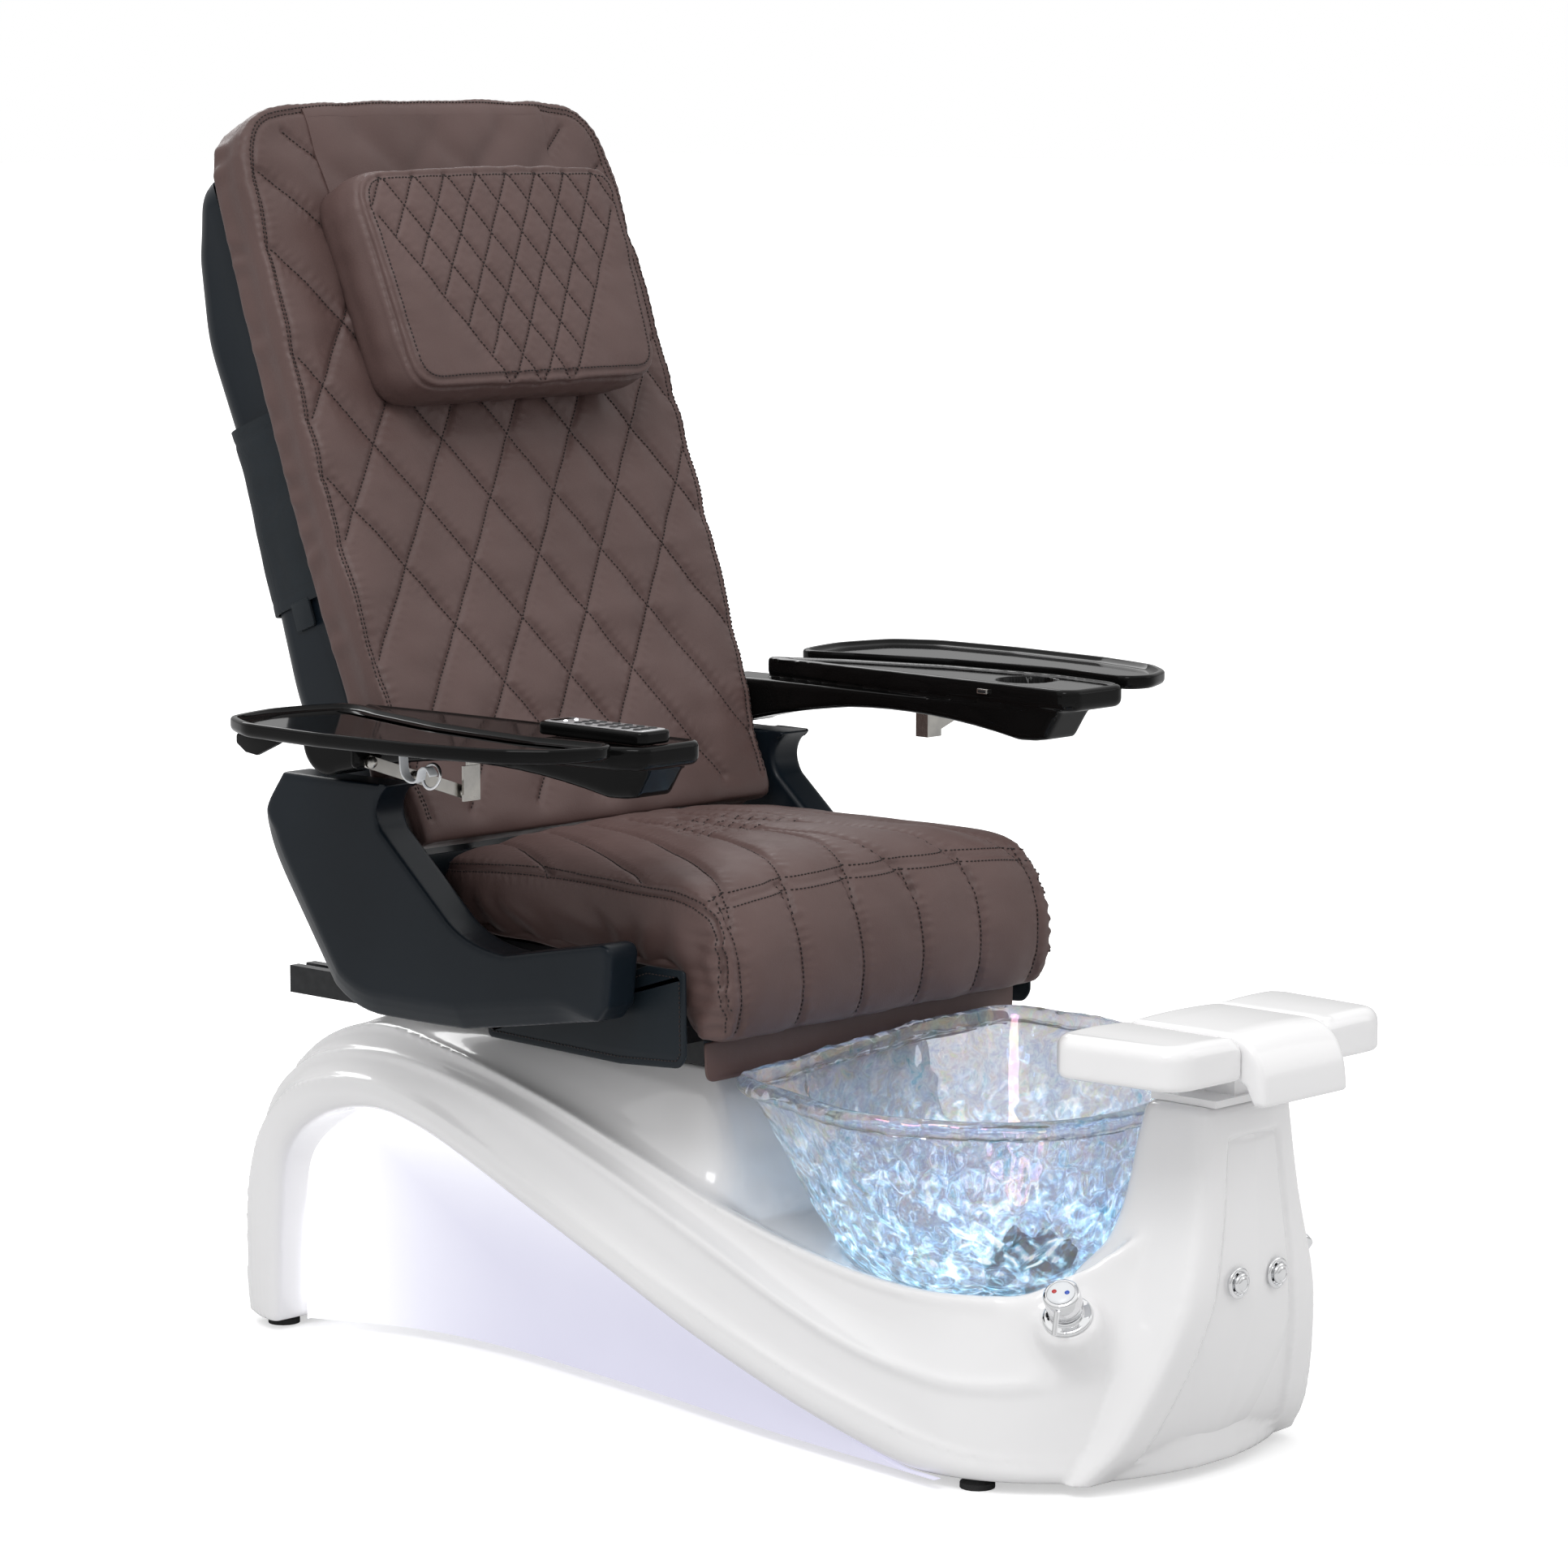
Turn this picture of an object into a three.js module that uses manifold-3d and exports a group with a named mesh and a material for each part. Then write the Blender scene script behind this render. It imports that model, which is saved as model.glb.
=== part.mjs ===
// Pedicure spa chair: a white fibreglass foot-bath base with a glass bowl, and a
// powered massage chair that slides and reclines on top of it.
// Millimetres, +Z up. The sitter faces -Y, so the footrest is at -Y and the sitter's
// left hand is at +X. The origin is the middle of the footprint, on the floor.

import * as THREE from 'three';
import { mergeVertices } from 'three/addons/utils/BufferGeometryUtils.js';
import Module from 'manifold-3d';

const wasm = await Module();
wasm.setup();

// ---------------------------------------------------------------- driving sizes

const GAP = 0.3; // clearance between pieces that touch
const SIDES = [['left', 1], ['right', -1]]; // the sitter's left is +X
const ORIGIN_SHIFT = 11.4; // from the middle of the base back to the middle of the footprint

// Base
const BASE_FLOOR = 12; // the shell stands this high on its levelling feet
const BASE_REAR = 655;
const BASE_FRONT = -632;
const CREST_HALF = 232; // half width of the top terrace
const MIDDLE_HALF = 250; // half width of the middle terrace
const LOWER_HALF = 268; // half width of the lowest terrace
const WALL = 12; // fibreglass wall and acrylic panel thickness
const CAVITY_HALF = 138;
const DECK_TOP = 388; // flat plinth that carries the seat rails
const DECK_FRONT = -40;

// Foot bath
const BOWL_Y = -325;
const BOWL_FOOT = 172.3;
const BOWL_RIM = 396;
const BOWL_WAVE = 20;
const BOWL_ROUND = 205;
const BOWL_GLASS = 12;

// Pedestal and its controls
const PEDESTAL_TOP = 410;
const PEDESTAL_FACE = -684;
const BUTTON_X = 33;
const BUTTON_Z = 222;
const BUTTON_RADIUS = 11;
const BEZEL_RADIUS = 15;
const FITTING = { x: 178, y: -572, z: 192 }; // chrome fittings on the front shoulders
const FITTING_AXIS = new THREE.Vector3(-0.58, -0.25, 0.78).normalize();
const FLANGE_RADIUS = 27;
const KNOB_RADIUS = 20;

// Footrest
const SADDLE_HALF = 72;
const PAD_END = 180;
const FOOTREST_TOP = 493;
const FOOTREST_REAR = -556;
const FOOTREST_FRONT = -716;

// Seat carriage
const RAIL_X = 150;
const RAIL_TOP = 421;
const RAIL_REAR = 656;
const SEAT_HALF = 268;
const SEAT_TOP = 606;
const SEAT_REAR = 298;
const PAN_TOP = 510;
const ARM_INNER = 301; // arm shells
const ARM_OUTER = 349;

// Back, in its own tilted frame: z runs up the back, y runs to the rear,
// and the origin is where the front face of the back meets the seat
const BACK_ORIGIN = [0, 285, 585];
const BACK_TILT = THREE.MathUtils.degToRad(20.6);
const BACK_TOP = 918;
const BACK_HALF = 312;
const BACK_FOOT = 30;
const BACK_FOOT_HALF = 284;
const CUSHION_DEPTH = 56;
const SHELL_HALF = 262;
const SHELL_REAR = 184;
const SHELL_TOP = 868;
const RECLINE = { y: 350.4, z: 506 }; // pivot of the back on the seat frame
const LEG_X = [108, 120]; // legs of the back frame, from the middle plane
const PIN_RADIUS = 6;

// Arms
const ARM_TOP = 777;
const ARM_SLAB = 26;
const ARM_PIVOT = [372, 733]; // y and z of the lifting hinge
const CUP = { x: 368, y: -42, radius: 35 }; // cup recess, in the left armrest only
const TRAY_TOP = 783;
const BRACE = { y: 120, bracket: [385, 702], tray: [521, 748], width: 14, thick: 3 };

// ---------------------------------------------------------------- materials

const material = (color, roughness, metalness = 0, extra = {}) =>
  new THREE.MeshStandardMaterial({ color, roughness, metalness, ...extra });

const MATERIALS = {
  fibreglass: material(0xf2f2f4, 0.2),
  lightPanel: material(0xe9e8ff, 0.35, 0, { emissive: 0xdcdcff, emissiveIntensity: 0.6 }),
  led: material(0xffffff, 0.5, 0, { emissive: 0xf0f0ff }),
  glass: material(0xbfd6e6, 0.05, 0, { transparent: true, opacity: 0.5 }),
  chrome: material(0xdedfe2, 0.08, 1),
  steel: material(0x3a3c40, 0.45, 0.8),
  zinc: material(0xcfcabb, 0.35, 0.8),
  blackPlastic: material(0x17181a, 0.5),
  blackGloss: material(0x08080a, 0.1),
  navyPlastic: material(0x1e2a35, 0.45),
  navyFabric: material(0x182129, 0.8),
  leather: material(0x5c4845, 0.55),
  rubber: material(0x141414, 0.85),
};

// ---------------------------------------------------------------- helpers

function toSolid(geometry) {
  const bare = geometry.clone();
  bare.deleteAttribute('normal');
  bare.deleteAttribute('uv');
  const merged = mergeVertices(bare, 1e-4);
  const mesh = new wasm.Mesh({
    numProp: 3,
    vertProperties: new Float32Array(merged.attributes.position.array),
    triVerts: new Uint32Array(merged.index.array),
  });
  return new wasm.Manifold(mesh);
}

function toGeometry(solid) {
  const mesh = solid.getMesh();
  const geometry = new THREE.BufferGeometry();
  geometry.setAttribute('position', new THREE.BufferAttribute(new Float32Array(mesh.vertProperties), 3));
  geometry.setIndex(new THREE.BufferAttribute(new Uint32Array(mesh.triVerts), 1));
  const flat = geometry.toNonIndexed();
  flat.computeVertexNormals();
  return flat;
}

const join = (...solids) => solids.reduce((all, solid) => all.add(solid));
const cut = (solid, ...tools) => tools.reduce((rest, tool) => rest.subtract(tool), solid);
const common = (a, b) => a.intersect(b);

const moved = (geometry, x, y, z) => geometry.translate(x, y, z);

function box(x0, x1, y0, y1, z0, z1) {
  const geometry = new THREE.BoxGeometry(x1 - x0, y1 - y0, z1 - z0);
  return moved(geometry, (x0 + x1) / 2, (y0 + y1) / 2, (z0 + z1) / 2);
}

// A box that spans the same distance on both sides of the middle plane
const centredBox = (half, y0, y1, z0, z1) => box(-half, half, y0, y1, z0, z1);

// Cylinder along a direction, starting at a point
function rod(from, direction, length, radius, sides = 20) {
  const axis = new THREE.Vector3(...direction).normalize();
  const geometry = new THREE.CylinderGeometry(radius, radius, length, sides);
  geometry.translate(0, length / 2, 0);
  geometry.applyQuaternion(new THREE.Quaternion().setFromUnitVectors(new THREE.Vector3(0, 1, 0), axis));
  return moved(geometry, ...from);
}

// Outline made of straight lines, or of one smooth curve between straight ends
function polygon(points) {
  return new THREE.Shape(points.map(([a, b]) => new THREE.Vector2(a, b)));
}

function smoothOutline(start, curvePoints, end) {
  const shape = new THREE.Shape();
  shape.moveTo(...start[0]);
  start.slice(1).forEach((point) => shape.lineTo(...point));
  shape.lineTo(...curvePoints[0]);
  shape.splineThru(curvePoints.slice(1).map(([a, b]) => new THREE.Vector2(a, b)));
  end.forEach((point) => shape.lineTo(...point));
  return shape;
}

const extrude = (shape, depth, curveSegments, bevel = 0) => new THREE.ExtrudeGeometry(shape, {
  depth: depth - 2 * bevel,
  steps: 1,
  curveSegments,
  bevelEnabled: bevel > 0,
  bevelThickness: bevel,
  bevelSize: bevel,
  bevelOffset: -bevel,
  bevelSegments: 2,
});

const AXIS_X = new THREE.Vector3(1, 0, 0);
const AXIS_Y = new THREE.Vector3(0, 1, 0);
const AXIS_Z = new THREE.Vector3(0, 0, 1);

// Side-view outline (y, z) swept from x0 to x1
function sweepX(shape, x0, x1, curveSegments = 2, bevel = 0) {
  const geometry = extrude(shape, x1 - x0, curveSegments, bevel);
  geometry.translate(0, 0, bevel);
  geometry.applyMatrix4(new THREE.Matrix4().makeBasis(AXIS_Y, AXIS_Z, AXIS_X));
  return moved(geometry, x0, 0, 0);
}

// Front-view outline (x, z) swept from y0 back to y1
function sweepY(shape, y0, y1, curveSegments = 2, bevel = 0) {
  const geometry = extrude(shape, y1 - y0, curveSegments, bevel);
  geometry.translate(0, 0, bevel);
  geometry.applyMatrix4(new THREE.Matrix4().makeBasis(AXIS_X, AXIS_Z, AXIS_Y.clone().negate()));
  return moved(geometry, 0, y1, 0);
}

// Top-view outline (x, y) swept from z0 to z1
function sweepZ(shape, z0, z1, curveSegments = 2, bevel = 0) {
  const geometry = extrude(shape, z1 - z0, curveSegments, bevel);
  return moved(geometry, 0, 0, z0 + bevel);
}

// Rounded rectangle between two corners
function roundedRect(a0, a1, b0, b1, radius) {
  const shape = new THREE.Shape();
  shape.absarc(a1 - radius, b0 + radius, radius, -Math.PI / 2, 0);
  shape.absarc(a1 - radius, b1 - radius, radius, 0, Math.PI / 2);
  shape.absarc(a0 + radius, b1 - radius, radius, Math.PI / 2, Math.PI);
  shape.absarc(a0 + radius, b0 + radius, radius, Math.PI, Math.PI * 1.5);
  return shape;
}

// Closed solid through equal rings of points, with flat ends
function loft(rings) {
  const count = rings[0].length;
  const positions = [];
  const corner = (point) => positions.push(point[0], point[1], point[2]);
  const triangle = (a, b, c) => [a, b, c].forEach(corner);
  const middle = (ring) => [0, 1, 2].map((k) => ring.reduce((sum, p) => sum + p[k], 0) / count);
  rings.slice(1).forEach((ring, level) => {
    const below = rings[level];
    ring.forEach((point, i) => {
      const next = (i + 1) % count;
      triangle(below[i], below[next], ring[next]);
      triangle(below[i], ring[next], point);
    });
  });
  const first = rings[0];
  const last = rings[rings.length - 1];
  const firstMiddle = middle(first);
  const lastMiddle = middle(last);
  first.forEach((point, i) => triangle(first[(i + 1) % count], point, firstMiddle));
  last.forEach((point, i) => triangle(point, last[(i + 1) % count], lastMiddle));
  const geometry = new THREE.BufferGeometry();
  geometry.setAttribute('position', new THREE.BufferAttribute(new Float32Array(positions), 3));
  geometry.computeVertexNormals();
  return geometry;
}

const mirrorPoints = (points, side) => points.map(([a, b]) => [a * side, b]);

// Outline given for the sitter's left, placed on either side
const sidePolygon = (points, side) => polygon(mirrorPoints(points, side));

// x range [inner, outer] on the given side, in increasing order
const sideRange = (inner, outer, side) => (side > 0 ? [inner, outer] : [-outer, -inner]);

const model = new THREE.Group();
model.name = 'pedicure_spa_chair';

function place(parent, name, shape, look) {
  const geometry = shape.isBufferGeometry ? shape : toGeometry(shape);
  const mesh = new THREE.Mesh(geometry, MATERIALS[look]);
  mesh.name = name;
  parent.add(mesh);
  return mesh;
}

// ---------------------------------------------------------------- bowl shape

// Distance from the bowl's centre to its rim, by direction: two rear corners reach out
const RIM = [[0, 252], [20, 262], [39, 292], [55, 236], [90, 191], [125, 236], [141, 292], [160, 262],
  [180, 252], [198, 231], [225, 214], [270, 208], [315, 214], [342, 231], [360, 252]];
const RIM_CURVE = new THREE.SplineCurve(RIM.map(([angle, radius]) => new THREE.Vector2(angle, radius)));

function rimRadius(degrees) {
  const index = RIM.findIndex(([angle]) => angle > degrees) - 1;
  const [from, to] = [RIM[index][0], RIM[index + 1][0]];
  return RIM_CURVE.getPoint((index + (degrees - from) / (to - from)) / (RIM.length - 1)).y;
}

// The rim is highest at the sitter's left rear corner and lowest across from it
const rimHeight = (degrees) => BOWL_RIM + BOWL_WAVE * Math.cos(THREE.MathUtils.degToRad(degrees - 50));

// Ring of the bowl wall: level 0 is the foot and 1 the rim, grow moves it outwards
function bowlRing([level, reach], grow) {
  const count = 36;
  return Array.from({ length: count }, (_, i) => {
    const degrees = (i / count) * 360;
    const angle = THREE.MathUtils.degToRad(degrees);
    const radius = (BOWL_ROUND + (rimRadius(degrees) - BOWL_ROUND) * level ** 1.6) * reach + grow;
    const z = BOWL_FOOT + (rimHeight(degrees) - BOWL_FOOT) * level;
    return [radius * Math.cos(angle), BOWL_Y + radius * Math.sin(angle), z];
  });
}

const BOWL_WALL = [[0, 0.62], [0.06, 0.76], [0.2, 0.88], [0.45, 0.955], [0.8, 0.985], [1, 1]];

function glassBowl() {
  const outer = BOWL_WALL.map((step) => bowlRing(step, 0));
  const inner = BOWL_WALL.slice(1).reverse().map((step) => bowlRing(step, -BOWL_GLASS));
  const floor = inner[inner.length - 1].map(([x, y]) => [x * 0.75, BOWL_Y + (y - BOWL_Y) * 0.75,
    BOWL_FOOT + BOWL_GLASS]);
  return toSolid(loft([...outer, ...inner, floor]));
}

// Recess in the deck that follows the bowl's wall with some room round it
function bowlPocket() {
  const foot = bowlRing(BOWL_WALL[0], 10).map(([x, y, z]) => [x, y, z - GAP]);
  return toSolid(loft([foot, ...BOWL_WALL.slice(1).map((step) => bowlRing(step, 10))]));
}

// ---------------------------------------------------------------- base shell

// Side-view curves (y, z), from the rear wall forward
const CREST_LINE = [[640, 150], [602, 280], [540, 350], [440, 386], [320, 368], [150, 330],
  [0, 283], [-130, 238], [-300, 210], [-454, 206]];
const MIDDLE_LINE = [[638, 145], [598, 282], [525, 338], [410, 355], [250, 339], [73, 290],
  [-96, 225], [-241, 164], [-381, 120], [-475, 111]];
const LOWER_LINE = [[636, 140], [610, 235], [545, 300], [437, 326], [326, 310], [153, 242],
  [-47, 158], [-248, 82], [-429, 38]];
const WINDOW_LINE = [[570, 150], [556, 222], [500, 274], [410, 293], [326, 281], [153, 213],
  [38, 165], [-103, 105], [-248, 54], [-388, 18]];

function terrace(line, half, frontEnd) {
  const shape = smoothOutline([[frontEnd, BASE_FLOOR], [BASE_REAR, BASE_FLOOR]], line,
    [[frontEnd, line[line.length - 1][1]]]);
  return toSolid(sweepX(shape, -half, half));
}

// Top-view outline: square shoulders at the rear, rounded nose at the front
function hullPlan() {
  const shape = new THREE.Shape();
  const corner = 45;
  shape.moveTo(LOWER_HALF, BASE_REAR - corner);
  shape.quadraticCurveTo(LOWER_HALF, BASE_REAR, LOWER_HALF - corner, BASE_REAR);
  shape.lineTo(corner - LOWER_HALF, BASE_REAR);
  shape.quadraticCurveTo(-LOWER_HALF, BASE_REAR, -LOWER_HALF, BASE_REAR - corner);
  shape.lineTo(-MIDDLE_HALF, -440);
  shape.bezierCurveTo(-MIDDLE_HALF, -560, -150, BASE_FRONT, 0, BASE_FRONT);
  shape.bezierCurveTo(150, BASE_FRONT, MIDDLE_HALF, -560, MIDDLE_HALF, -440);
  return shape;
}

// Front view (x, z) and side view (y, z) of the column that carries the footrest
const COLUMN_FRONT = [[184, BASE_FLOOR], [166, 50], [140, 125], [116, 200], [88, 300], [75, PEDESTAL_TOP]];
const COLUMN_FACE = [[-676, PEDESTAL_TOP], [PEDESTAL_FACE, 262], [-682, 200], [-664, 125], [-634, 50],
  [-604, BASE_FLOOR]];
const COLUMN_BACK = [[-470, BASE_FLOOR], [-500, 205], [-545, 262], [-569, 371], [-578, PEDESTAL_TOP]];

function pedestal() {
  const front = polygon([...COLUMN_FRONT, ...mirrorPoints(COLUMN_FRONT, -1).reverse()]);
  const side = polygon([...COLUMN_FACE, ...COLUMN_BACK]);
  return common(toSolid(sweepY(front, -720, -440)), toSolid(sweepX(side, -200, 200)));
}

// Arch-shaped side window, shrunk by an amount all round; its slope runs out to a tip on the floor
function windowOutline(shrink) {
  const line = WINDOW_LINE
    .map(([y, z]) => [y > 500 ? y - shrink : y, z - shrink])
    .filter(([, z]) => z > BASE_FLOOR + 4);
  const [lastY, lastZ] = line[line.length - 1];
  const rear = line[0][0];
  const tip = lastY - 3 * (lastZ - BASE_FLOOR);
  return smoothOutline([[tip, BASE_FLOOR - 1], [rear, BASE_FLOOR - 1]], line, []);
}

// Top-view line (x, y) of the concave light panels
const PANEL_LINE = [[238, 600], [176, 440], [165, 310], [180, 150], [200, 0], [232, -200], [254, -400],
  [262, -470]];

// Upright curtain that follows the panel line, between two distances inside it
function curtain(side, near, far, z0, z1) {
  const curve = new THREE.SplineCurve(PANEL_LINE.map(([x, y]) => new THREE.Vector2(x, y)));
  const points = curve.getPoints(14).map((p) => [p.x, p.y]);
  const outline = [
    ...points.map(([x, y]) => [x - near, y]),
    ...points.reverse().map(([x, y]) => [x - far, y]),
  ];
  return toSolid(sweepZ(sidePolygon(outline, side), z0, z1));
}

function fittingAxis(side) {
  return new THREE.Vector3(-FITTING_AXIS.x * side, FITTING_AXIS.y, FITTING_AXIS.z);
}

function fittingPoint(side, along) {
  const axis = fittingAxis(side);
  return [FITTING.x * side + axis.x * along, FITTING.y + axis.y * along, FITTING.z + axis.z * along];
}

function fittingRod(side, from, length, radius, sides = 24) {
  return rod(fittingPoint(side, from), fittingAxis(side).toArray(), length, radius, sides);
}

const panelFront = (grow) => {
  const half = [[118 + grow, 34 - grow], [92 + grow, 110], [69 + grow, 190], [52 + grow, 290],
    [41 + grow, 377 + grow]];
  return polygon([...half, ...mirrorPoints(half, -1).reverse()]);
};

// Slab that follows the column's face, between two depths behind it
function faceSlab(outer, inner) {
  const face = COLUMN_FACE.map(([y, z]) => [y + outer, z]);
  const back = COLUMN_FACE.map(([y, z]) => [y + inner, z]).reverse();
  return toSolid(sweepX(polygon([...face, ...back]), -150, 150));
}

function baseShell() {
  const hull = join(
    terrace(CREST_LINE, CREST_HALF, -600),
    terrace(MIDDLE_LINE, MIDDLE_HALF, -600),
    terrace(LOWER_LINE, LOWER_HALF, -560),
  );
  const shoulders = SIDES.map(([, side]) => {
    const slope = new THREE.BoxGeometry(600, 200, 600);
    slope.translate(0, 100, 0);
    slope.applyQuaternion(new THREE.Quaternion().setFromUnitVectors(AXIS_Y, fittingAxis(side)));
    return toSolid(moved(slope, ...fittingPoint(side, 0)));
  });
  const plinth = toSolid(centredBox(190, DECK_FRONT, 500, 200, DECK_TOP));
  const bosses = SIDES.map(([, side]) => toSolid(fittingRod(side, -70, 70, FLANGE_RADIUS + 8)));
  const lower = cut(common(hull, toSolid(sweepZ(hullPlan(), 0, 400, 6))), ...shoulders);
  const body = join(lower, plinth, pedestal(), ...bosses);
  const cavityLine = [[BASE_REAR - 30, 0], [BASE_REAR - 45, 180], [500, 320], [400, 345],
    [DECK_FRONT + 30, 345], [-70, 215], [-130, 150], [-560, 150], [-560, 0]];
  const cavity = toSolid(sweepX(polygon(cavityLine), -CAVITY_HALF, CAVITY_HALF));
  const windows = SIDES.map(([, side]) => {
    const [x0, x1] = sideRange(CAVITY_HALF - 1, LOWER_HALF + 10, side);
    return toSolid(sweepX(windowOutline(0), x0, x1));
  });
  const panelBed = common(toSolid(sweepY(panelFront(1), -720, -560)), faceSlab(-5, 9));
  const buttonWells = SIDES.map(([, side]) =>
    toSolid(rod([BUTTON_X * side, -700, BUTTON_Z], [0, 1, 0], 60, BEZEL_RADIUS - 1)));
  return cut(body, cavity, ...windows, bowlPocket(), panelBed, ...buttonWells);
}

place(model, 'base_shell', baseShell(), 'fibreglass');

SIDES.forEach(([label, side]) => {
  const arch = toSolid(sweepX(windowOutline(2 * GAP), ...sideRange(100, 300, side)));
  const inner = toSolid(sweepX(windowOutline(14), ...sideRange(100, 300, side)));
  const acrylic = common(arch, curtain(side, 0, WALL, 0, 400));
  place(model, `light_panel_${label}`, acrylic, 'lightPanel');
  const ribbon = cut(toSolid(sweepX(windowOutline(4), ...sideRange(100, 300, side))), inner);
  const trimmed = cut(ribbon, toSolid(centredBox(300, -700, 20, 0, 400)));
  const strip = common(trimmed, curtain(side, WALL + GAP, WALL + 4, 30, 400));
  place(model, `led_strip_${label}`, strip, 'led');
});

// ---------------------------------------------------------------- inside the base

function chassis() {
  const rails = SIDES.map(([, side]) => toSolid(box(...sideRange(95, 125, side), -530, 600, 20, 50)));
  const ties = [-515, -60, 585].map((y) => toSolid(centredBox(125, y - 15, y + 15, 20, 50)));
  return join(...rails, ...ties);
}

place(model, 'chassis_frame', chassis(), 'steel');

// Levelling foot: a rubber disc with a short stem below the shell's corner
const FEET = [['front', 215, -480], ['rear', 225, 612]];
FEET.forEach(([end, x, y]) => SIDES.forEach(([label, side]) => {
  const profile = [[0, 0], [19, 0], [19, 6], [10, BASE_FLOOR - GAP], [0, BASE_FLOOR - GAP]];
  const foot = new THREE.LatheGeometry(profile.map(([r, z]) => new THREE.Vector2(r, z)), 16);
  foot.rotateX(Math.PI / 2);
  place(model, `levelling_foot_${end}_${label}`, moved(foot, x * side, y, 0), 'rubber');
}));

function drainPump() {
  const motor = toSolid(rod([-90, 60, 95], [1, 0, 0], 130, 38, 20));
  const volute = toSolid(rod([40, 60, 95], [1, 0, 0], 40, 52, 20));
  const mount = toSolid(box(-60, 60, 25, 95, 50 + GAP, 90));
  const outlet = toSolid(rod([60, 60, 120], [0, 0, 1], 60, 14, 12));
  return join(motor, volute, mount, outlet);
}

place(model, 'drain_pump', drainPump(), 'blackPlastic');
place(model, 'control_box', sweepZ(roundedRect(-125, 125, 380, 540, 12), 50 + GAP, 130, 3), 'blackPlastic');

// ---------------------------------------------------------------- glass bowl

place(model, 'glass_bowl', glassBowl(), 'glass');

function latheZ(profile, x, y, z, sides = 24) {
  const geometry = new THREE.LatheGeometry(profile.map(([r, h]) => new THREE.Vector2(r, h)), sides);
  geometry.rotateX(Math.PI / 2);
  return moved(geometry, x, y, z);
}

const BATH_FLOOR = BOWL_FOOT + BOWL_GLASS + GAP;
const JET_Y = BOWL_Y - 45;
place(model, 'bowl_drain', latheZ([[0, 0], [26, 0], [26, 2], [20, 5], [0, 5]], 0, BOWL_Y + 70, BATH_FLOOR), 'chrome');
place(model, 'jet_housing', latheZ([[0, 0], [46, 0], [46, 22], [40, 26], [34, 26], [34, 5], [0, 5]],
  0, JET_Y, BATH_FLOOR, 28), 'blackPlastic');

function impeller() {
  const hub = toSolid(rod([0, JET_Y, BATH_FLOOR + 6], [0, 0, 1], 15, 9, 14));
  const blades = [0, 1, 2].map((i) => {
    const blade = box(-30, 30, -1.5, 1.5, BATH_FLOOR + 8, BATH_FLOOR + 18);
    blade.rotateZ((i * Math.PI) / 3);
    return toSolid(moved(blade, 0, JET_Y, 0));
  });
  return join(hub, ...blades);
}

place(model, 'jet_impeller', impeller(), 'blackPlastic');

// ---------------------------------------------------------------- front controls

function frontPanel() {
  const skin = common(toSolid(sweepY(panelFront(0), -720, -560)), faceSlab(1, 8));
  const holes = SIDES.map(([, side]) =>
    toSolid(rod([BUTTON_X * side, -700, BUTTON_Z], [0, 1, 0], 60, BEZEL_RADIUS - 1)));
  return cut(skin, ...holes);
}

place(model, 'front_panel', frontPanel(), 'fibreglass');

const BUTTON_NAMES = { left: 'drain_button', right: 'jet_button' };
SIDES.forEach(([label, side]) => {
  const name = BUTTON_NAMES[label];
  const face = PEDESTAL_FACE + 1;
  const start = [BUTTON_X * side, face - 3, BUTTON_Z];
  const lip = toSolid(rod(start, [0, 1, 0], 3 - GAP, BEZEL_RADIUS + 2));
  const barrel = toSolid(rod(start, [0, 1, 0], 26, BEZEL_RADIUS - 1 - GAP));
  const bore = toSolid(rod([start[0], start[1] - 1, start[2]], [0, 1, 0], 30, BUTTON_RADIUS + GAP));
  place(model, `${name}_bezel`, cut(join(lip, barrel), bore), 'chrome');
  const cap = rod([BUTTON_X * side, face - 4.5, BUTTON_Z], [0, 1, 0], 14, BUTTON_RADIUS);
  place(model, name, cap, 'chrome');
});

// Mixer on the sitter's right shoulder of the base, diverter on the left
const FITTING_NAMES = { right: 'mixer', left: 'diverter' };
SIDES.forEach(([label, side]) => {
  const name = FITTING_NAMES[label];
  const disc = toSolid(fittingRod(side, GAP, 5, FLANGE_RADIUS));
  const collar = toSolid(fittingRod(side, GAP, 10, FLANGE_RADIUS - 9));
  place(model, `${name}_flange`, join(disc, collar), 'chrome');
  place(model, `${name}_knob`, toSolid(fittingRod(side, 11, 30, KNOB_RADIUS)), 'chrome');
});

// Slim lever pin that stands out of the mixer knob on its lower side
function mixerLever() {
  const axis = fittingAxis(-1);
  const down = new THREE.Vector3(0, 0, -1).addScaledVector(axis, axis.z).normalize();
  const start = new THREE.Vector3(...fittingPoint(-1, 36)).addScaledVector(down, KNOB_RADIUS + 2);
  const along = down.clone().addScaledVector(axis, -0.55);
  return rod(start.toArray(), along.toArray(), 24, 3, 10);
}

place(model, 'mixer_lever', mixerLever(), 'chrome');

// ---------------------------------------------------------------- footrest

place(model, 'footrest_bracket', join(
  toSolid(centredBox(60, -672, -585, PEDESTAL_TOP + GAP, PEDESTAL_TOP + 8)),
  toSolid(centredBox(20, -665, -590, PEDESTAL_TOP + GAP, FOOTREST_TOP - 44 - GAP)),
), 'steel');

const footrest = new THREE.Group();
model.add(footrest);

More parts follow.
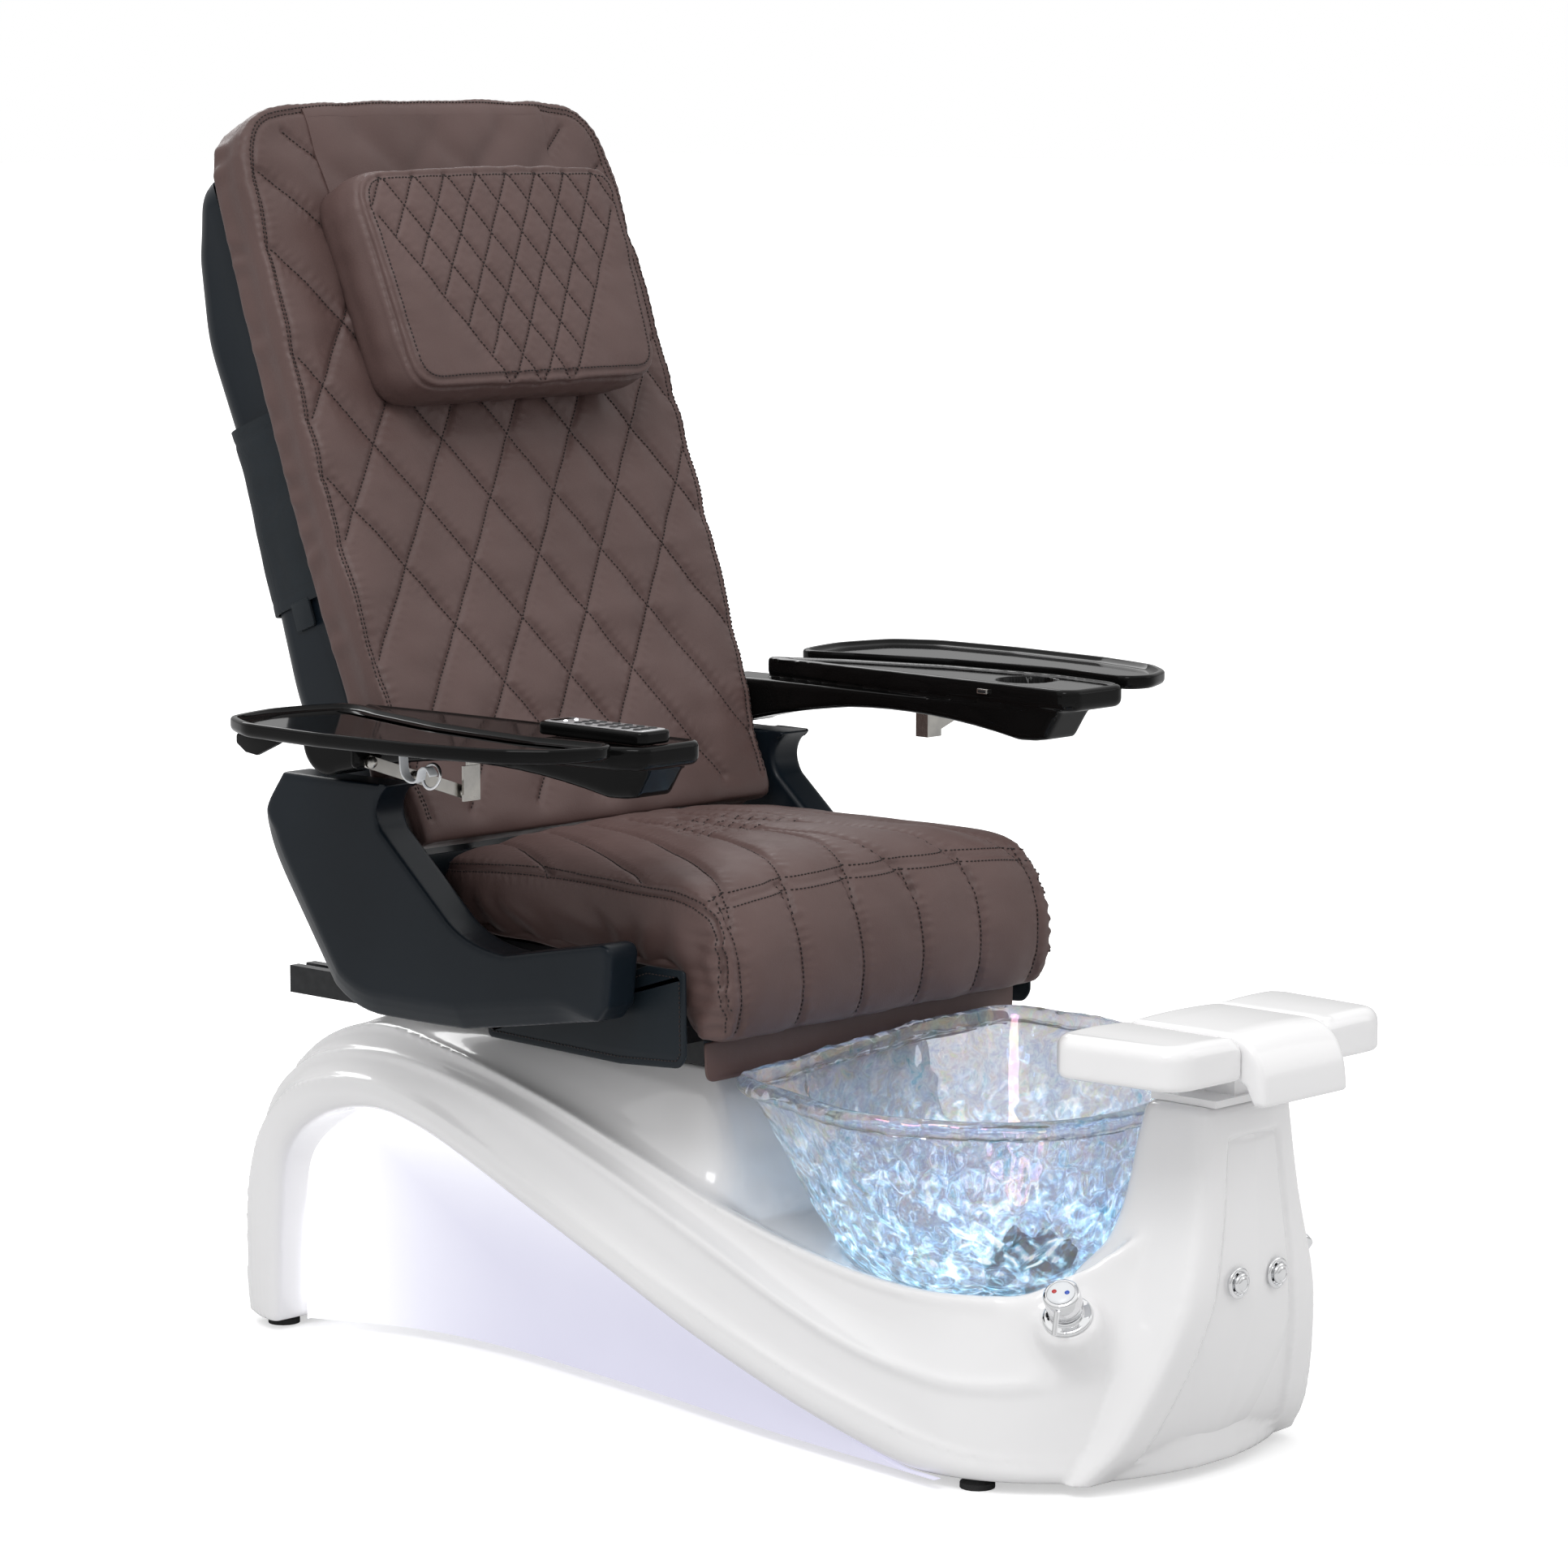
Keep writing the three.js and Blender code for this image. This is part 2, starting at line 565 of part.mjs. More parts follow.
// The middle saddle rolls down over the front edge
function saddleOutline() {
  const shape = new THREE.Shape();
  shape.moveTo(FOOTREST_REAR, FOOTREST_TOP - 44);
  shape.lineTo(FOOTREST_REAR - 2, FOOTREST_TOP - 12);
  shape.quadraticCurveTo(FOOTREST_REAR - 4, FOOTREST_TOP, FOOTREST_REAR - 20, FOOTREST_TOP + 1);
  shape.lineTo(-690, FOOTREST_TOP + 1);
  shape.bezierCurveTo(-730, FOOTREST_TOP, -744, FOOTREST_TOP - 25, -745, FOOTREST_TOP - 70);
  shape.lineTo(-727, FOOTREST_TOP - 72);
  shape.quadraticCurveTo(-725, FOOTREST_TOP - 44, -700, FOOTREST_TOP - 44);
  return shape;
}

place(footrest, 'footrest_saddle', sweepX(saddleOutline(), -SADDLE_HALF, SADDLE_HALF, 5), 'fibreglass');

SIDES.forEach(([label, side]) => {
  const plan = new THREE.Shape();
  const outer = PAD_END * side;
  const inner = (SADDLE_HALF + GAP) * side;
  const round = 34;
  const turn = round * side;
  plan.moveTo(inner, FOOTREST_FRONT);
  plan.lineTo(outer - turn, FOOTREST_FRONT);
  plan.quadraticCurveTo(outer, FOOTREST_FRONT, outer, FOOTREST_FRONT + round);
  plan.lineTo(outer + 12 * side, FOOTREST_REAR - 14);
  plan.quadraticCurveTo(outer + 12 * side, FOOTREST_REAR + 6, outer - turn / 2, FOOTREST_REAR + 5);
  plan.lineTo(inner, FOOTREST_REAR);
  const pad = toSolid(sweepZ(plan, FOOTREST_TOP - 46, FOOTREST_TOP - 1, 4, 8));
  const keep = toSolid(box(...sideRange(SADDLE_HALF + GAP, 300, side), -800, -500, 300, 600));
  place(footrest, `footrest_pad_${label}`, common(pad, keep), 'fibreglass');
});

// ---------------------------------------------------------------- seat rails and carriage

SIDES.forEach(([label, side]) => {
  const [x0, x1] = sideRange(RAIL_X - 20, RAIL_X + 20, side);
  const bar = toSolid(box(x0, x1, DECK_FRONT + 5, RAIL_REAR, DECK_TOP + GAP, RAIL_TOP));
  const slot = toSolid(box(x0 + 14, x1 - 14, DECK_FRONT, RAIL_REAR + 5, RAIL_TOP - 12, RAIL_TOP + 5));
  place(model, `seat_rail_${label}`, cut(bar, slot), 'steel');
});

place(model, 'slide_actuator', join(
  toSolid(box(-38, 38, 330, 440, DECK_TOP + GAP, 412)),
  toSolid(rod([0, 332, 401], [0, -1, 0], 250, 9, 12)),
), 'blackPlastic');

const carriage = new THREE.Group();
model.add(carriage);

function seatFrame() {
  const beams = SIDES.map(([, side]) =>
    toSolid(box(...sideRange(RAIL_X - 22, RAIL_X + 22, side), -70, 330, RAIL_TOP + GAP, 446)));
  const runners = SIDES.map(([, side]) =>
    toSolid(box(...sideRange(RAIL_X - 4, RAIL_X + 4, side), -20, 320, RAIL_TOP - 10, 430)));
  const ties = [-55, 250].map((y) => toSolid(centredBox(y > 0 ? 288 : 262, y - 15, y + 15, 426, 446)));
  const hinges = SIDES.map(([, side]) =>
    toSolid(box(...sideRange(RAIL_X - 22, RAIL_X - 10, side), 300, RECLINE.y + 20, RAIL_TOP + GAP, RECLINE.z + 18)));
  const pins = SIDES.map(([, side]) =>
    toSolid(rod([(LEG_X[0] - 4) * side, RECLINE.y, RECLINE.z], [side, 0, 0], 30, PIN_RADIUS, 12)));
  return join(...beams, ...runners, ...ties, ...hinges, ...pins);
}

place(carriage, 'seat_frame', seatFrame(), 'steel');
place(carriage, 'seat_pan', sweepX(polygon([[-80, 446 + GAP], [270, 446 + GAP], [280, PAN_TOP],
  [-80, PAN_TOP]]), -236, 236), 'blackPlastic');

function seatOutline() {
  const shape = new THREE.Shape();
  const under = PAN_TOP + GAP;
  shape.moveTo(SEAT_REAR, under + 10);
  shape.quadraticCurveTo(SEAT_REAR, SEAT_TOP - 4, SEAT_REAR - 40, SEAT_TOP);
  shape.lineTo(-90, SEAT_TOP + 4);
  shape.bezierCurveTo(-140, SEAT_TOP + 2, -165, 560, -166, 500);
  shape.quadraticCurveTo(-166, 440, -140, 438);
  shape.quadraticCurveTo(-98, 438, -92, 470);
  shape.lineTo(-90, under);
  return shape;
}

place(carriage, 'seat_cushion', sweepX(seatOutline(), -SEAT_HALF, SEAT_HALF, 6, 12), 'leather');

// Splash flap below the front of the seat, slit so that it straddles the rails as the seat slides back
function apronFlap() {
  const slits = SIDES.map(([, side]) =>
    toSolid(box(...sideRange(RAIL_X - 26, RAIL_X + 26, side), -130, -110, 380, RAIL_TOP + 4)));
  return cut(toSolid(centredBox(256, -121, -117, 392, 436)), ...slits);
}

place(carriage, 'apron_flap', apronFlap(), 'leather');

const SKIRT_LINE = [[-120, 440], [-120, 519], [-60, 519], [190, 424], [190, 408], [-20, 405], [-110, 410]];
SIDES.forEach(([label, side]) => {
  const skirt = sweepX(polygon(SKIRT_LINE), ...sideRange(284, 288, side));
  place(carriage, `side_skirt_${label}`, skirt, 'navyFabric');
});

function armShellOutline() {
  const shape = new THREE.Shape();
  shape.moveTo(285, 690);
  shape.quadraticCurveTo(318, 668, 298, 638);
  shape.lineTo(200, 555);
  shape.quadraticCurveTo(165, 522, 98, 519);
  shape.lineTo(-52, 548);
  shape.quadraticCurveTo(-66, 548, -66, 535);
  shape.lineTo(-60, 480);
  shape.lineTo(-44, 462);
  shape.lineTo(176, 425);
  shape.lineTo(309, 424);
  shape.quadraticCurveTo(356, 424, 390, 451);
  shape.lineTo(468, 560);
  shape.bezierCurveTo(496, 600, 506, 622, 496, 645);
  shape.lineTo(462, 690);
  return shape;
}

SIDES.forEach(([label, side]) => {
  const body = toSolid(sweepX(armShellOutline(), ...sideRange(ARM_INNER, ARM_OUTER, side), 5));
  const foot = toSolid(box(...sideRange(289, ARM_INNER + 2, side), 220, 300, 426, 446));
  place(carriage, `arm_shell_${label}`, join(body, foot), 'navyPlastic');
});

place(carriage, 'recline_actuator', join(
  toSolid(rod([0, 330, 432], [0, 1, 0], 60, 10, 14)),
  toSolid(box(-32, 32, 265 + GAP, 335, 414, 446)),
), 'blackPlastic');

// ---------------------------------------------------------------- back

const back = new THREE.Group();
back.position.set(...BACK_ORIGIN);
back.rotation.x = -BACK_TILT;
model.add(back);

// Outline of the back (x, z): slightly waisted at both ends, with round upper corners
function backOutline() {
  const shape = new THREE.Shape();
  const shoulder = 88;
  const top = BACK_HALF - 12;
  shape.moveTo(-BACK_FOOT_HALF, BACK_FOOT);
  shape.lineTo(BACK_FOOT_HALF, BACK_FOOT);
  shape.quadraticCurveTo(BACK_HALF + 8, 340, top, BACK_TOP - shoulder);
  shape.quadraticCurveTo(top - 4, BACK_TOP - 4, top - shoulder, BACK_TOP);
  shape.lineTo(shoulder - top, BACK_TOP);
  shape.quadraticCurveTo(4 - top, BACK_TOP - 4, -top, BACK_TOP - shoulder);
  shape.quadraticCurveTo(-BACK_HALF - 8, 340, -BACK_FOOT_HALF, BACK_FOOT);
  return shape;
}

place(back, 'back_cushion', sweepY(backOutline(), -8, CUSHION_DEPTH, 5, 12), 'leather');

// Rear casing: shallow at the top, deepest at mid height, drawn in at the foot
function casingLine(inset) {
  return [[CUSHION_DEPTH + GAP + inset, 40 + inset], [130, 20 + inset], [SHELL_REAR - 10 - inset, 90 + inset],
    [SHELL_REAR + 4 - inset, 260], [SHELL_REAR - 12 - inset, 520], [SHELL_REAR + 2 - inset, 690],
    [SHELL_REAR - 14 - inset, 790], [135, SHELL_TOP - inset], [CUSHION_DEPTH + GAP + inset, SHELL_TOP - inset]];
}

function backShell() {
  const outside = toSolid(sweepX(polygon(casingLine(0)), -SHELL_HALF, SHELL_HALF, 2, 14));
  const inside = toSolid(sweepX(polygon(casingLine(14)), 20 - SHELL_HALF, SHELL_HALF - 20));
  const mouth = toSolid(centredBox(170, 40, 120, 90, 800));
  const slots = SIDES.map(([, side]) =>
    toSolid(box(...sideRange(LEG_X[0] - 4, LEG_X[1] + 4, side), 66, 150, 0, 75)));
  return cut(outside, inside, mouth, ...slots);
}

place(back, 'back_shell', backShell(), 'navyPlastic');

// Cloth pocket band that wraps the casing's sides and rear
function sleeve() {
  const line = [[80, 352], [SHELL_REAR + 6, 352], [SHELL_REAR - 4, 575], [80, 575]];
  const outside = toSolid(sweepX(polygon(line), -SHELL_HALF - 5, SHELL_HALF + 5));
  const hollowLine = [[70, 300], [SHELL_REAR + 4, 300], [SHELL_REAR - 6, 620], [70, 620]];
  const hollow = toSolid(sweepX(polygon(hollowLine), -SHELL_HALF - 1, SHELL_HALF + 1));
  return cut(outside, hollow);
}

place(back, 'back_sleeve', sleeve(), 'navyFabric');

// Steel frame inside the back: two upright tracks for the massage carriage, and legs
// that pass through the foot of the casing to the recline pivot
const LEG_LINE = [[77, -66], [100, -66], [108, -44], [146, 44], [146, 90], [128, 90], [128, 56], [77, -38]];

// A point of the chair's side view, in the back's own tilted frame
function inBackFrame({ y, z }) {
  const point = new THREE.Vector2(y - BACK_ORIGIN[1], z - BACK_ORIGIN[2]);
  point.rotateAround(new THREE.Vector2(), BACK_TILT);
  return [point.x, point.y];
}

function backFrame() {
  const legs = SIDES.map(([, side]) => toSolid(sweepX(polygon(LEG_LINE), ...sideRange(...LEG_X, side))));
  const tracks = SIDES.map(([, side]) => toSolid(box(...sideRange(...LEG_X, side), 128, 146, 80, 790)));
  const ties = [100, 780].map((z) => toSolid(centredBox(LEG_X[1], 128, 146, z - 10, z + 10)));
  const bores = SIDES.map(([, side]) =>
    toSolid(rod([90 * side, ...inBackFrame(RECLINE)], [side, 0, 0], 60, PIN_RADIUS + GAP, 12)));
  return cut(join(...legs, ...tracks, ...ties), ...bores);
}

place(back, 'back_frame', backFrame(), 'steel');

function massageCarriage() {
  const block = toSolid(centredBox(104, 112, 154, 200, 290));
  const arms = SIDES.map(([, side]) => toSolid(box(...sideRange(40, 60, side), 80, 125, 215, 275)));
  const rollers = SIDES.flatMap(([, side]) => [212, 278].map((z) =>
    toSolid(rod([30 * side, 82, z], [side, 0, 0], 40, 18, 14))));
  return join(block, ...arms, ...rollers);
}

place(back, 'massage_carriage', massageCarriage(), 'blackPlastic');

// Pillow, held by a broad strap that runs over the top of the back
const PILLOW_FRONT = -92;
const PILLOW_FOOT = 540;
const PILLOW_HEAD = 807;
function pillowOutline() {
  const shape = new THREE.Shape();
  const round = 42;
  const foot = 198;
  const head = 212;
  shape.moveTo(round - foot, PILLOW_FOOT);
  shape.lineTo(foot - round, PILLOW_FOOT);
  shape.quadraticCurveTo(foot, PILLOW_FOOT, foot + 3, PILLOW_FOOT + round);
  shape.lineTo(head, PILLOW_HEAD - round);
  shape.quadraticCurveTo(head, PILLOW_HEAD, head - round, PILLOW_HEAD);
  shape.lineTo(round - head, PILLOW_HEAD);
  shape.quadraticCurveTo(-head, PILLOW_HEAD, -head, PILLOW_HEAD - round);
  shape.lineTo(-foot - 3, PILLOW_FOOT + round);
  shape.quadraticCurveTo(-foot, PILLOW_FOOT, round - foot, PILLOW_FOOT);
  return shape;
}

place(back, 'pillow', sweepY(pillowOutline(), PILLOW_FRONT, -8 - GAP, 4, 14), 'leather');

function strap() {
  const thick = 4;
  const over = toSolid(centredBox(150, -8 - GAP - thick, CUSHION_DEPTH + GAP + thick, BACK_TOP + GAP,
    BACK_TOP + GAP + thick));
  const front = toSolid(centredBox(150, -8 - GAP - thick, -8 - GAP, PILLOW_HEAD + GAP, BACK_TOP + GAP + thick));
  const rear = toSolid(centredBox(150, CUSHION_DEPTH + GAP, CUSHION_DEPTH + GAP + thick, SHELL_TOP + 2,
    BACK_TOP + GAP + thick));
  return join(over, front, rear);
}

place(back, 'pillow_strap', strap(), 'leather');

// ---------------------------------------------------------------- arms and trays

// Top-view outlines (x, y) for the sitter's left side
const ARM_PLAN = [[313, -167], [395, -167], [413, -143], [427, -43], [413, 117], [375, 252], [335, 339],
  [327, 339], [317, 217], [308, 17], [300, -153]];
const TRAY_PLAN = [[362, 330], [388, 250], [421, 119], [436, -41], [421, -148], [452, -164], [505, -142],
  [543, -94], [566, 0], [578, 150], [573, 272], [543, 330], [466, 352]];

function armBeamOutline() {
  const [pivotY, pivotZ] = ARM_PIVOT;
  const shape = new THREE.Shape();
  shape.moveTo(-145, ARM_TOP - ARM_SLAB + 2);
  shape.lineTo(-122, 716);
  shape.lineTo(-80, 712);
  shape.quadraticCurveTo(60, 738, 190, 728);
  shape.quadraticCurveTo(290, 716, pivotY - 20, pivotZ - 33);
  shape.absarc(pivotY, pivotZ, 38, -Math.PI * 0.66, Math.PI * 0.16);
  shape.lineTo(pivotY - 40, ARM_TOP - ARM_SLAB + 2);
  return shape;
}

SIDES.forEach(([label, side]) => {
  const slab = toSolid(sweepZ(sidePolygon(ARM_PLAN, side), ARM_TOP - ARM_SLAB, ARM_TOP, 2, 3));
  const beam = toSolid(sweepX(armBeamOutline(), ...sideRange(ARM_INNER + 4, 368, side), 5));
  const cup = toSolid(rod([CUP.x, CUP.y, ARM_TOP - 22], [0, 0, 1], 40, CUP.radius, 24));
  place(model, `armrest_${label}`, cut(join(slab, beam), cup), 'blackGloss');

  const leaf = toSolid(sweepZ(sidePolygon(TRAY_PLAN, side), TRAY_TOP - 17, TRAY_TOP, 2, 2));
  const centre = [476 * side, 90];
  const well = TRAY_PLAN.map(([x, y]) => [
    centre[0] + (x * side - centre[0]) * 0.9,
    centre[1] + (y - centre[1]) * 0.95,
  ]);
  const dish = toSolid(sweepZ(polygon(well), TRAY_TOP - 6, TRAY_TOP + 5));
  const lug = toSolid(box(...sideRange(BRACE.tray[0] - 8, BRACE.tray[0] + 8, side), BRACE.y + 8, BRACE.y + 11,
    BRACE.tray[1] - 8, TRAY_TOP - 15));
  place(model, `tray_${label}`, join(cut(leaf, dish), lug), 'blackGloss');
});

// Folding brace under each tray: a bracket on the arm and two links that meet in the middle
const BRACE_MIDDLE = [(BRACE.bracket[0] + BRACE.tray[0]) / 2, (BRACE.bracket[1] + BRACE.tray[1]) / 2];

function link(side, from, to, layer) {
  const y = BRACE.y + layer * (BRACE.thick + 1);
  const span = new THREE.Vector2(to[0] - from[0], to[1] - from[1]);
  const angle = Math.atan2(span.y, span.x * side);
  const half = BRACE.width / 2;
  const shape = new THREE.Shape();
  shape.absarc(0, 0, half, Math.PI / 2, Math.PI * 1.5);
  shape.absarc(span.length(), 0, half, -Math.PI / 2, Math.PI / 2);
  const geometry = sweepY(shape, 0, BRACE.thick, 6);
  geometry.rotateY(-angle);
  return moved(geometry, from[0] * side, y, from[1]);
}

SIDES.forEach(([label, side]) => {
  const [bracketX, bracketZ] = BRACE.bracket;
  const y0 = BRACE.y - 1 - 2 * BRACE.thick;
  const plate = toSolid(box(...sideRange(368 + GAP, 372, side), y0, BRACE.y + 12, bracketZ - 9, 750));
  const ear = toSolid(box(...sideRange(370, bracketX + 8, side), y0, y0 + BRACE.thick, bracketZ - 9, bracketZ + 30));
  place(model, `brace_bracket_${label}`, join(plate, ear), 'zinc');
  place(model, `brace_lower_${label}`, link(side, BRACE.bracket, BRACE_MIDDLE, 0), 'zinc');
  place(model, `brace_upper_${label}`, link(side, BRACE.tray, BRACE_MIDDLE, 1), 'zinc');
});

// Handset, lying on the sitter's right armrest
const remote = sweepZ(roundedRect(-392, -342, -158, 0, 8), ARM_TOP + GAP, ARM_TOP + 16, 3, 3);
place(model, 'remote_control', remote, 'blackPlastic');

// The chair is drawn about the middle of its base; the origin is the middle of its whole footprint
model.position.y = ORIGIN_SHIFT;

export default model;
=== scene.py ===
"""Pedicure spa chair: the looks of every piece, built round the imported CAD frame.

Lengths are millimetres in the drawing frame (+Z up, the sitter faces -Y, the sitter's left
hand at +X) until a mesh is made, which turns them into metres in the row frame.
"""

import math

import bmesh
import bpy
import numpy as np
from mathutils import Matrix, Vector, noise
from mathutils.bvhtree import BVHTree


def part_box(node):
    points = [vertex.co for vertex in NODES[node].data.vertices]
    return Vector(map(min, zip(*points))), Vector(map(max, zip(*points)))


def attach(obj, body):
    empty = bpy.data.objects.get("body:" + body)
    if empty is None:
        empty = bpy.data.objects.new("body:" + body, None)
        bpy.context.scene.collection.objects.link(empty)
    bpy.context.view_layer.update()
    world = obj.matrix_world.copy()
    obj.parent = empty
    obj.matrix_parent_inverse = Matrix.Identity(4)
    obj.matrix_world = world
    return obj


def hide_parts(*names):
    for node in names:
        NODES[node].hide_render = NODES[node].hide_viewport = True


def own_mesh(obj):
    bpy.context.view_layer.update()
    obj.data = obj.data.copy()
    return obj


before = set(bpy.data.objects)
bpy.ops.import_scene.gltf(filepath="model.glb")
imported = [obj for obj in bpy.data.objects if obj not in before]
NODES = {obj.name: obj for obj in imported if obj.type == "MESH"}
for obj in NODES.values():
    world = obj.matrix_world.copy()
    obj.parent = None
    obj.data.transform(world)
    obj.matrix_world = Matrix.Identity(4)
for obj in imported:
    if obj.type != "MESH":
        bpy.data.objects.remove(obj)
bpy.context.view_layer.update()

BASE_REAR = 655
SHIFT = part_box("base_shell")[1].y * 1000 - BASE_REAR  # drawing frame to row frame, along Y
SIDES = (("left", 1), ("right", -1))  # the sitter's left is +X

BACK_TILT = math.radians(20.6)
BACK_ORIGIN = Vector((0, (285 + SHIFT) / 1000, 0.585))
BACK = Matrix.Translation(BACK_ORIGIN) @ Matrix.Rotation(-BACK_TILT, 4, "X")


# ------------------------------------------------------------------ camera and light


def camera():
    data = bpy.data.cameras.new("camera")
    data.lens = 121.18
    data.sensor_width = 36
    data.clip_end = 100
    cam = bpy.data.objects.new("camera", data)
    bpy.context.scene.collection.objects.link(cam)
    cam.location = (-4.3139, -4.0387, 1.4898)
    cam.rotation_mode = "QUATERNION"
    cam.rotation_quaternion = Vector((0.7221, 0.6784, -0.1349)).to_track_quat("-Z", "Y")
    bpy.context.scene.camera = cam


def area_light(name, place, aim, size, power, tint=(1, 1, 1)):
    data = bpy.data.lights.new(name, "AREA")
    data.shape = "RECTANGLE"
    data.size, data.size_y = size
    data.energy = power
    data.color = tint
    lamp = bpy.data.objects.new(name, data)
    bpy.context.scene.collection.objects.link(lamp)
    lamp.location = place
    lamp.rotation_mode = "QUATERNION"
    lamp.rotation_quaternion = (Vector(aim) - Vector(place)).to_track_quat("-Z", "Y")


def lights():
    """White surroundings, dimmer towards the horizon for everything but the view itself."""
    world = bpy.data.worlds.new("studio")
    world.use_nodes = True
    tree = world.node_tree
    background = tree.nodes["Background"]
    place = tree.nodes.new("ShaderNodeTexCoord")
    split = tree.nodes.new("ShaderNodeSeparateXYZ")
    tree.links.new(place.outputs["Generated"], split.inputs["Vector"])
    dome = tree.nodes.new("ShaderNodeMapRange")
    for key, value in (("From Min", -0.05), ("From Max", 0.85), ("To Min", 0.38), ("To Max", 1.08)):
        dome.inputs[key].default_value = value
    tree.links.new(split.outputs["Z"], dome.inputs["Value"])
    rays = tree.nodes.new("ShaderNodeLightPath")
    seen = tree.nodes.new("ShaderNodeMath")
    seen.operation = "MAXIMUM"
    tree.links.new(dome.outputs["Result"], seen.inputs[0])
    tree.links.new(rays.outputs["Is Camera Ray"], seen.inputs[1])
    tree.links.new(seen.outputs["Value"], background.inputs["Strength"])
    background.inputs["Color"].default_value = (1, 1, 1, 1)
    bpy.context.scene.world = world
    area_light("key", (-2.2, -1.2, 3.4), (0, 0, 0.6), (1.4, 1.4), 44)
    area_light("fill", (2.6, -2.8, 2.0), (0, 0, 0.6), (1.6, 2.2), 8)
    area_light("back", (1.4, 3.0, 2.8), (0, 0.2, 0.8), (2.4, 1.2), 34)
    bpy.context.scene.view_settings.view_transform = "Standard"


# ------------------------------------------------------------------ materials


class Look:
    """A node material: helpers that add nodes and join them to the surface shader."""

    def __init__(self, name, **sockets):
        self.material = bpy.data.materials.new(name)
        self.material.use_nodes = True
        self.tree = self.material.node_tree
        self.shader = self.tree.nodes["Principled BSDF"]
        self.place = self.node("ShaderNodeTexCoord").outputs["Object"]
        for key, value in sockets.items():
            self.shader.inputs[key.replace("_", " ")].default_value = value

    def node(self, kind, **values):
        made = self.tree.nodes.new(kind)
        for key, value in values.items():
            setattr(made, key, value)
        return made

    def link(self, source, target):
        self.tree.links.new(source, target)

    def noise(self, scale, detail=2.0, stretch=None, distortion=0.0):
        made = self.node("ShaderNodeTexNoise")
        made.inputs["Scale"].default_value = scale
        made.inputs["Detail"].default_value = detail
        made.inputs["Distortion"].default_value = distortion
        self.link(self.stretched(stretch), made.inputs["Vector"])
        return made.outputs["Fac"]

    def cells(self, scale, feature="F1", stretch=None):
        made = self.node("ShaderNodeTexVoronoi", feature=feature)
        made.inputs["Scale"].default_value = scale
        self.link(self.stretched(stretch), made.inputs["Vector"])
        return made.outputs["Distance"]

    def stretched(self, stretch):
        if stretch is None:
            return self.place
        made = self.node("ShaderNodeMapping")
        made.inputs["Scale"].default_value = stretch
        self.link(self.place, made.inputs["Vector"])
        return made.outputs["Vector"]

    def wave(self, scale, direction, distortion=0.0):
        made = self.node("ShaderNodeTexWave", bands_direction=direction)
        made.inputs["Scale"].default_value = scale
        made.inputs["Distortion"].default_value = distortion
        self.link(self.place, made.inputs["Vector"])
        return made.outputs["Fac"]

    def ramp(self, factor, *stops):
        made = self.node("ShaderNodeValToRGB")
        elements = made.color_ramp.elements
        while len(elements) < len(stops):
            elements.new(0.5)
        for element, (position, colour) in zip(elements, stops):
            element.position = position
            element.color = (*colour, 1)
        self.link(factor, made.inputs["Fac"])
        return made.outputs["Color"]

    def span(self, factor, low, high, start=0.0, end=1.0):
        made = self.node("ShaderNodeMapRange")
        for key, value in (("From Min", start), ("From Max", end), ("To Min", low), ("To Max", high)):
            made.inputs[key].default_value = value
        self.link(factor, made.inputs["Value"])
        return made.outputs["Result"]

    def mathed(self, operation, a, b):
        made = self.node("ShaderNodeMath", operation=operation)
        for socket, value in zip(made.inputs, (a, b)):
            if isinstance(value, (int, float)):
                socket.default_value = value
            else:
                self.link(value, socket)
        return made.outputs[0]

    def bump(self, *layers):
        """layers are (height, strength, distance in metres), one on top of the other."""
        normal = None
        for height, strength, distance in layers:
            made = self.node("ShaderNodeBump")
            made.inputs["Strength"].default_value = strength
            made.inputs["Distance"].default_value = distance
            self.link(height, made.inputs["Height"])
            if normal is not None:
                self.link(normal, made.inputs["Normal"])
            normal = made.outputs["Normal"]
        self.link(normal, self.shader.inputs["Normal"])

    def feed(self, **sockets):
        for key, source in sockets.items():
            self.link(source, self.shader.inputs[key.replace("_", " ")])
        return self.material


def leather():
    look = Look("leather", Specular_IOR_Level=0.36)
    patches = look.noise(5, 3)
    grain = look.cells(620)
    colour = look.ramp(patches, (0.3, (0.094, 0.056, 0.051)), (0.7, (0.124, 0.077, 0.071)))
    look.bump(
        (look.noise(34, 3, distortion=0.4), 0.16, 0.003),
        (grain, 0.22, 0.0004),
        (look.noise(1500, 2), 0.10, 0.0002),
    )
    return look.feed(Base_Color=colour, Roughness=look.span(look.noise(60, 3), 0.42, 0.58))


def thread():
    look = Look("thread")
    twist = look.noise(2200, 1)
    look.bump((twist, 0.5, 0.0003))
    colour = look.ramp(twist, (0.3, (0.010, 0.006, 0.006)), (0.7, (0.024, 0.013, 0.012)))
    return look.feed(Base_Color=colour, Roughness=look.span(twist, 0.5, 0.7))


def gelcoat():
    look = Look("gelcoat", Coat_Weight=0.6, Coat_Roughness=0.03)
    clouds = look.noise(3.5, 2)
    look.bump((look.noise(22, 1), 0.02, 0.004), (look.noise(420, 2), 0.012, 0.0004))
    colour = look.ramp(clouds, (0.3, (0.88, 0.875, 0.88)), (0.7, (0.91, 0.905, 0.91)))
    return look.feed(Base_Color=colour, Roughness=look.span(look.noise(9, 3), 0.14, 0.24))


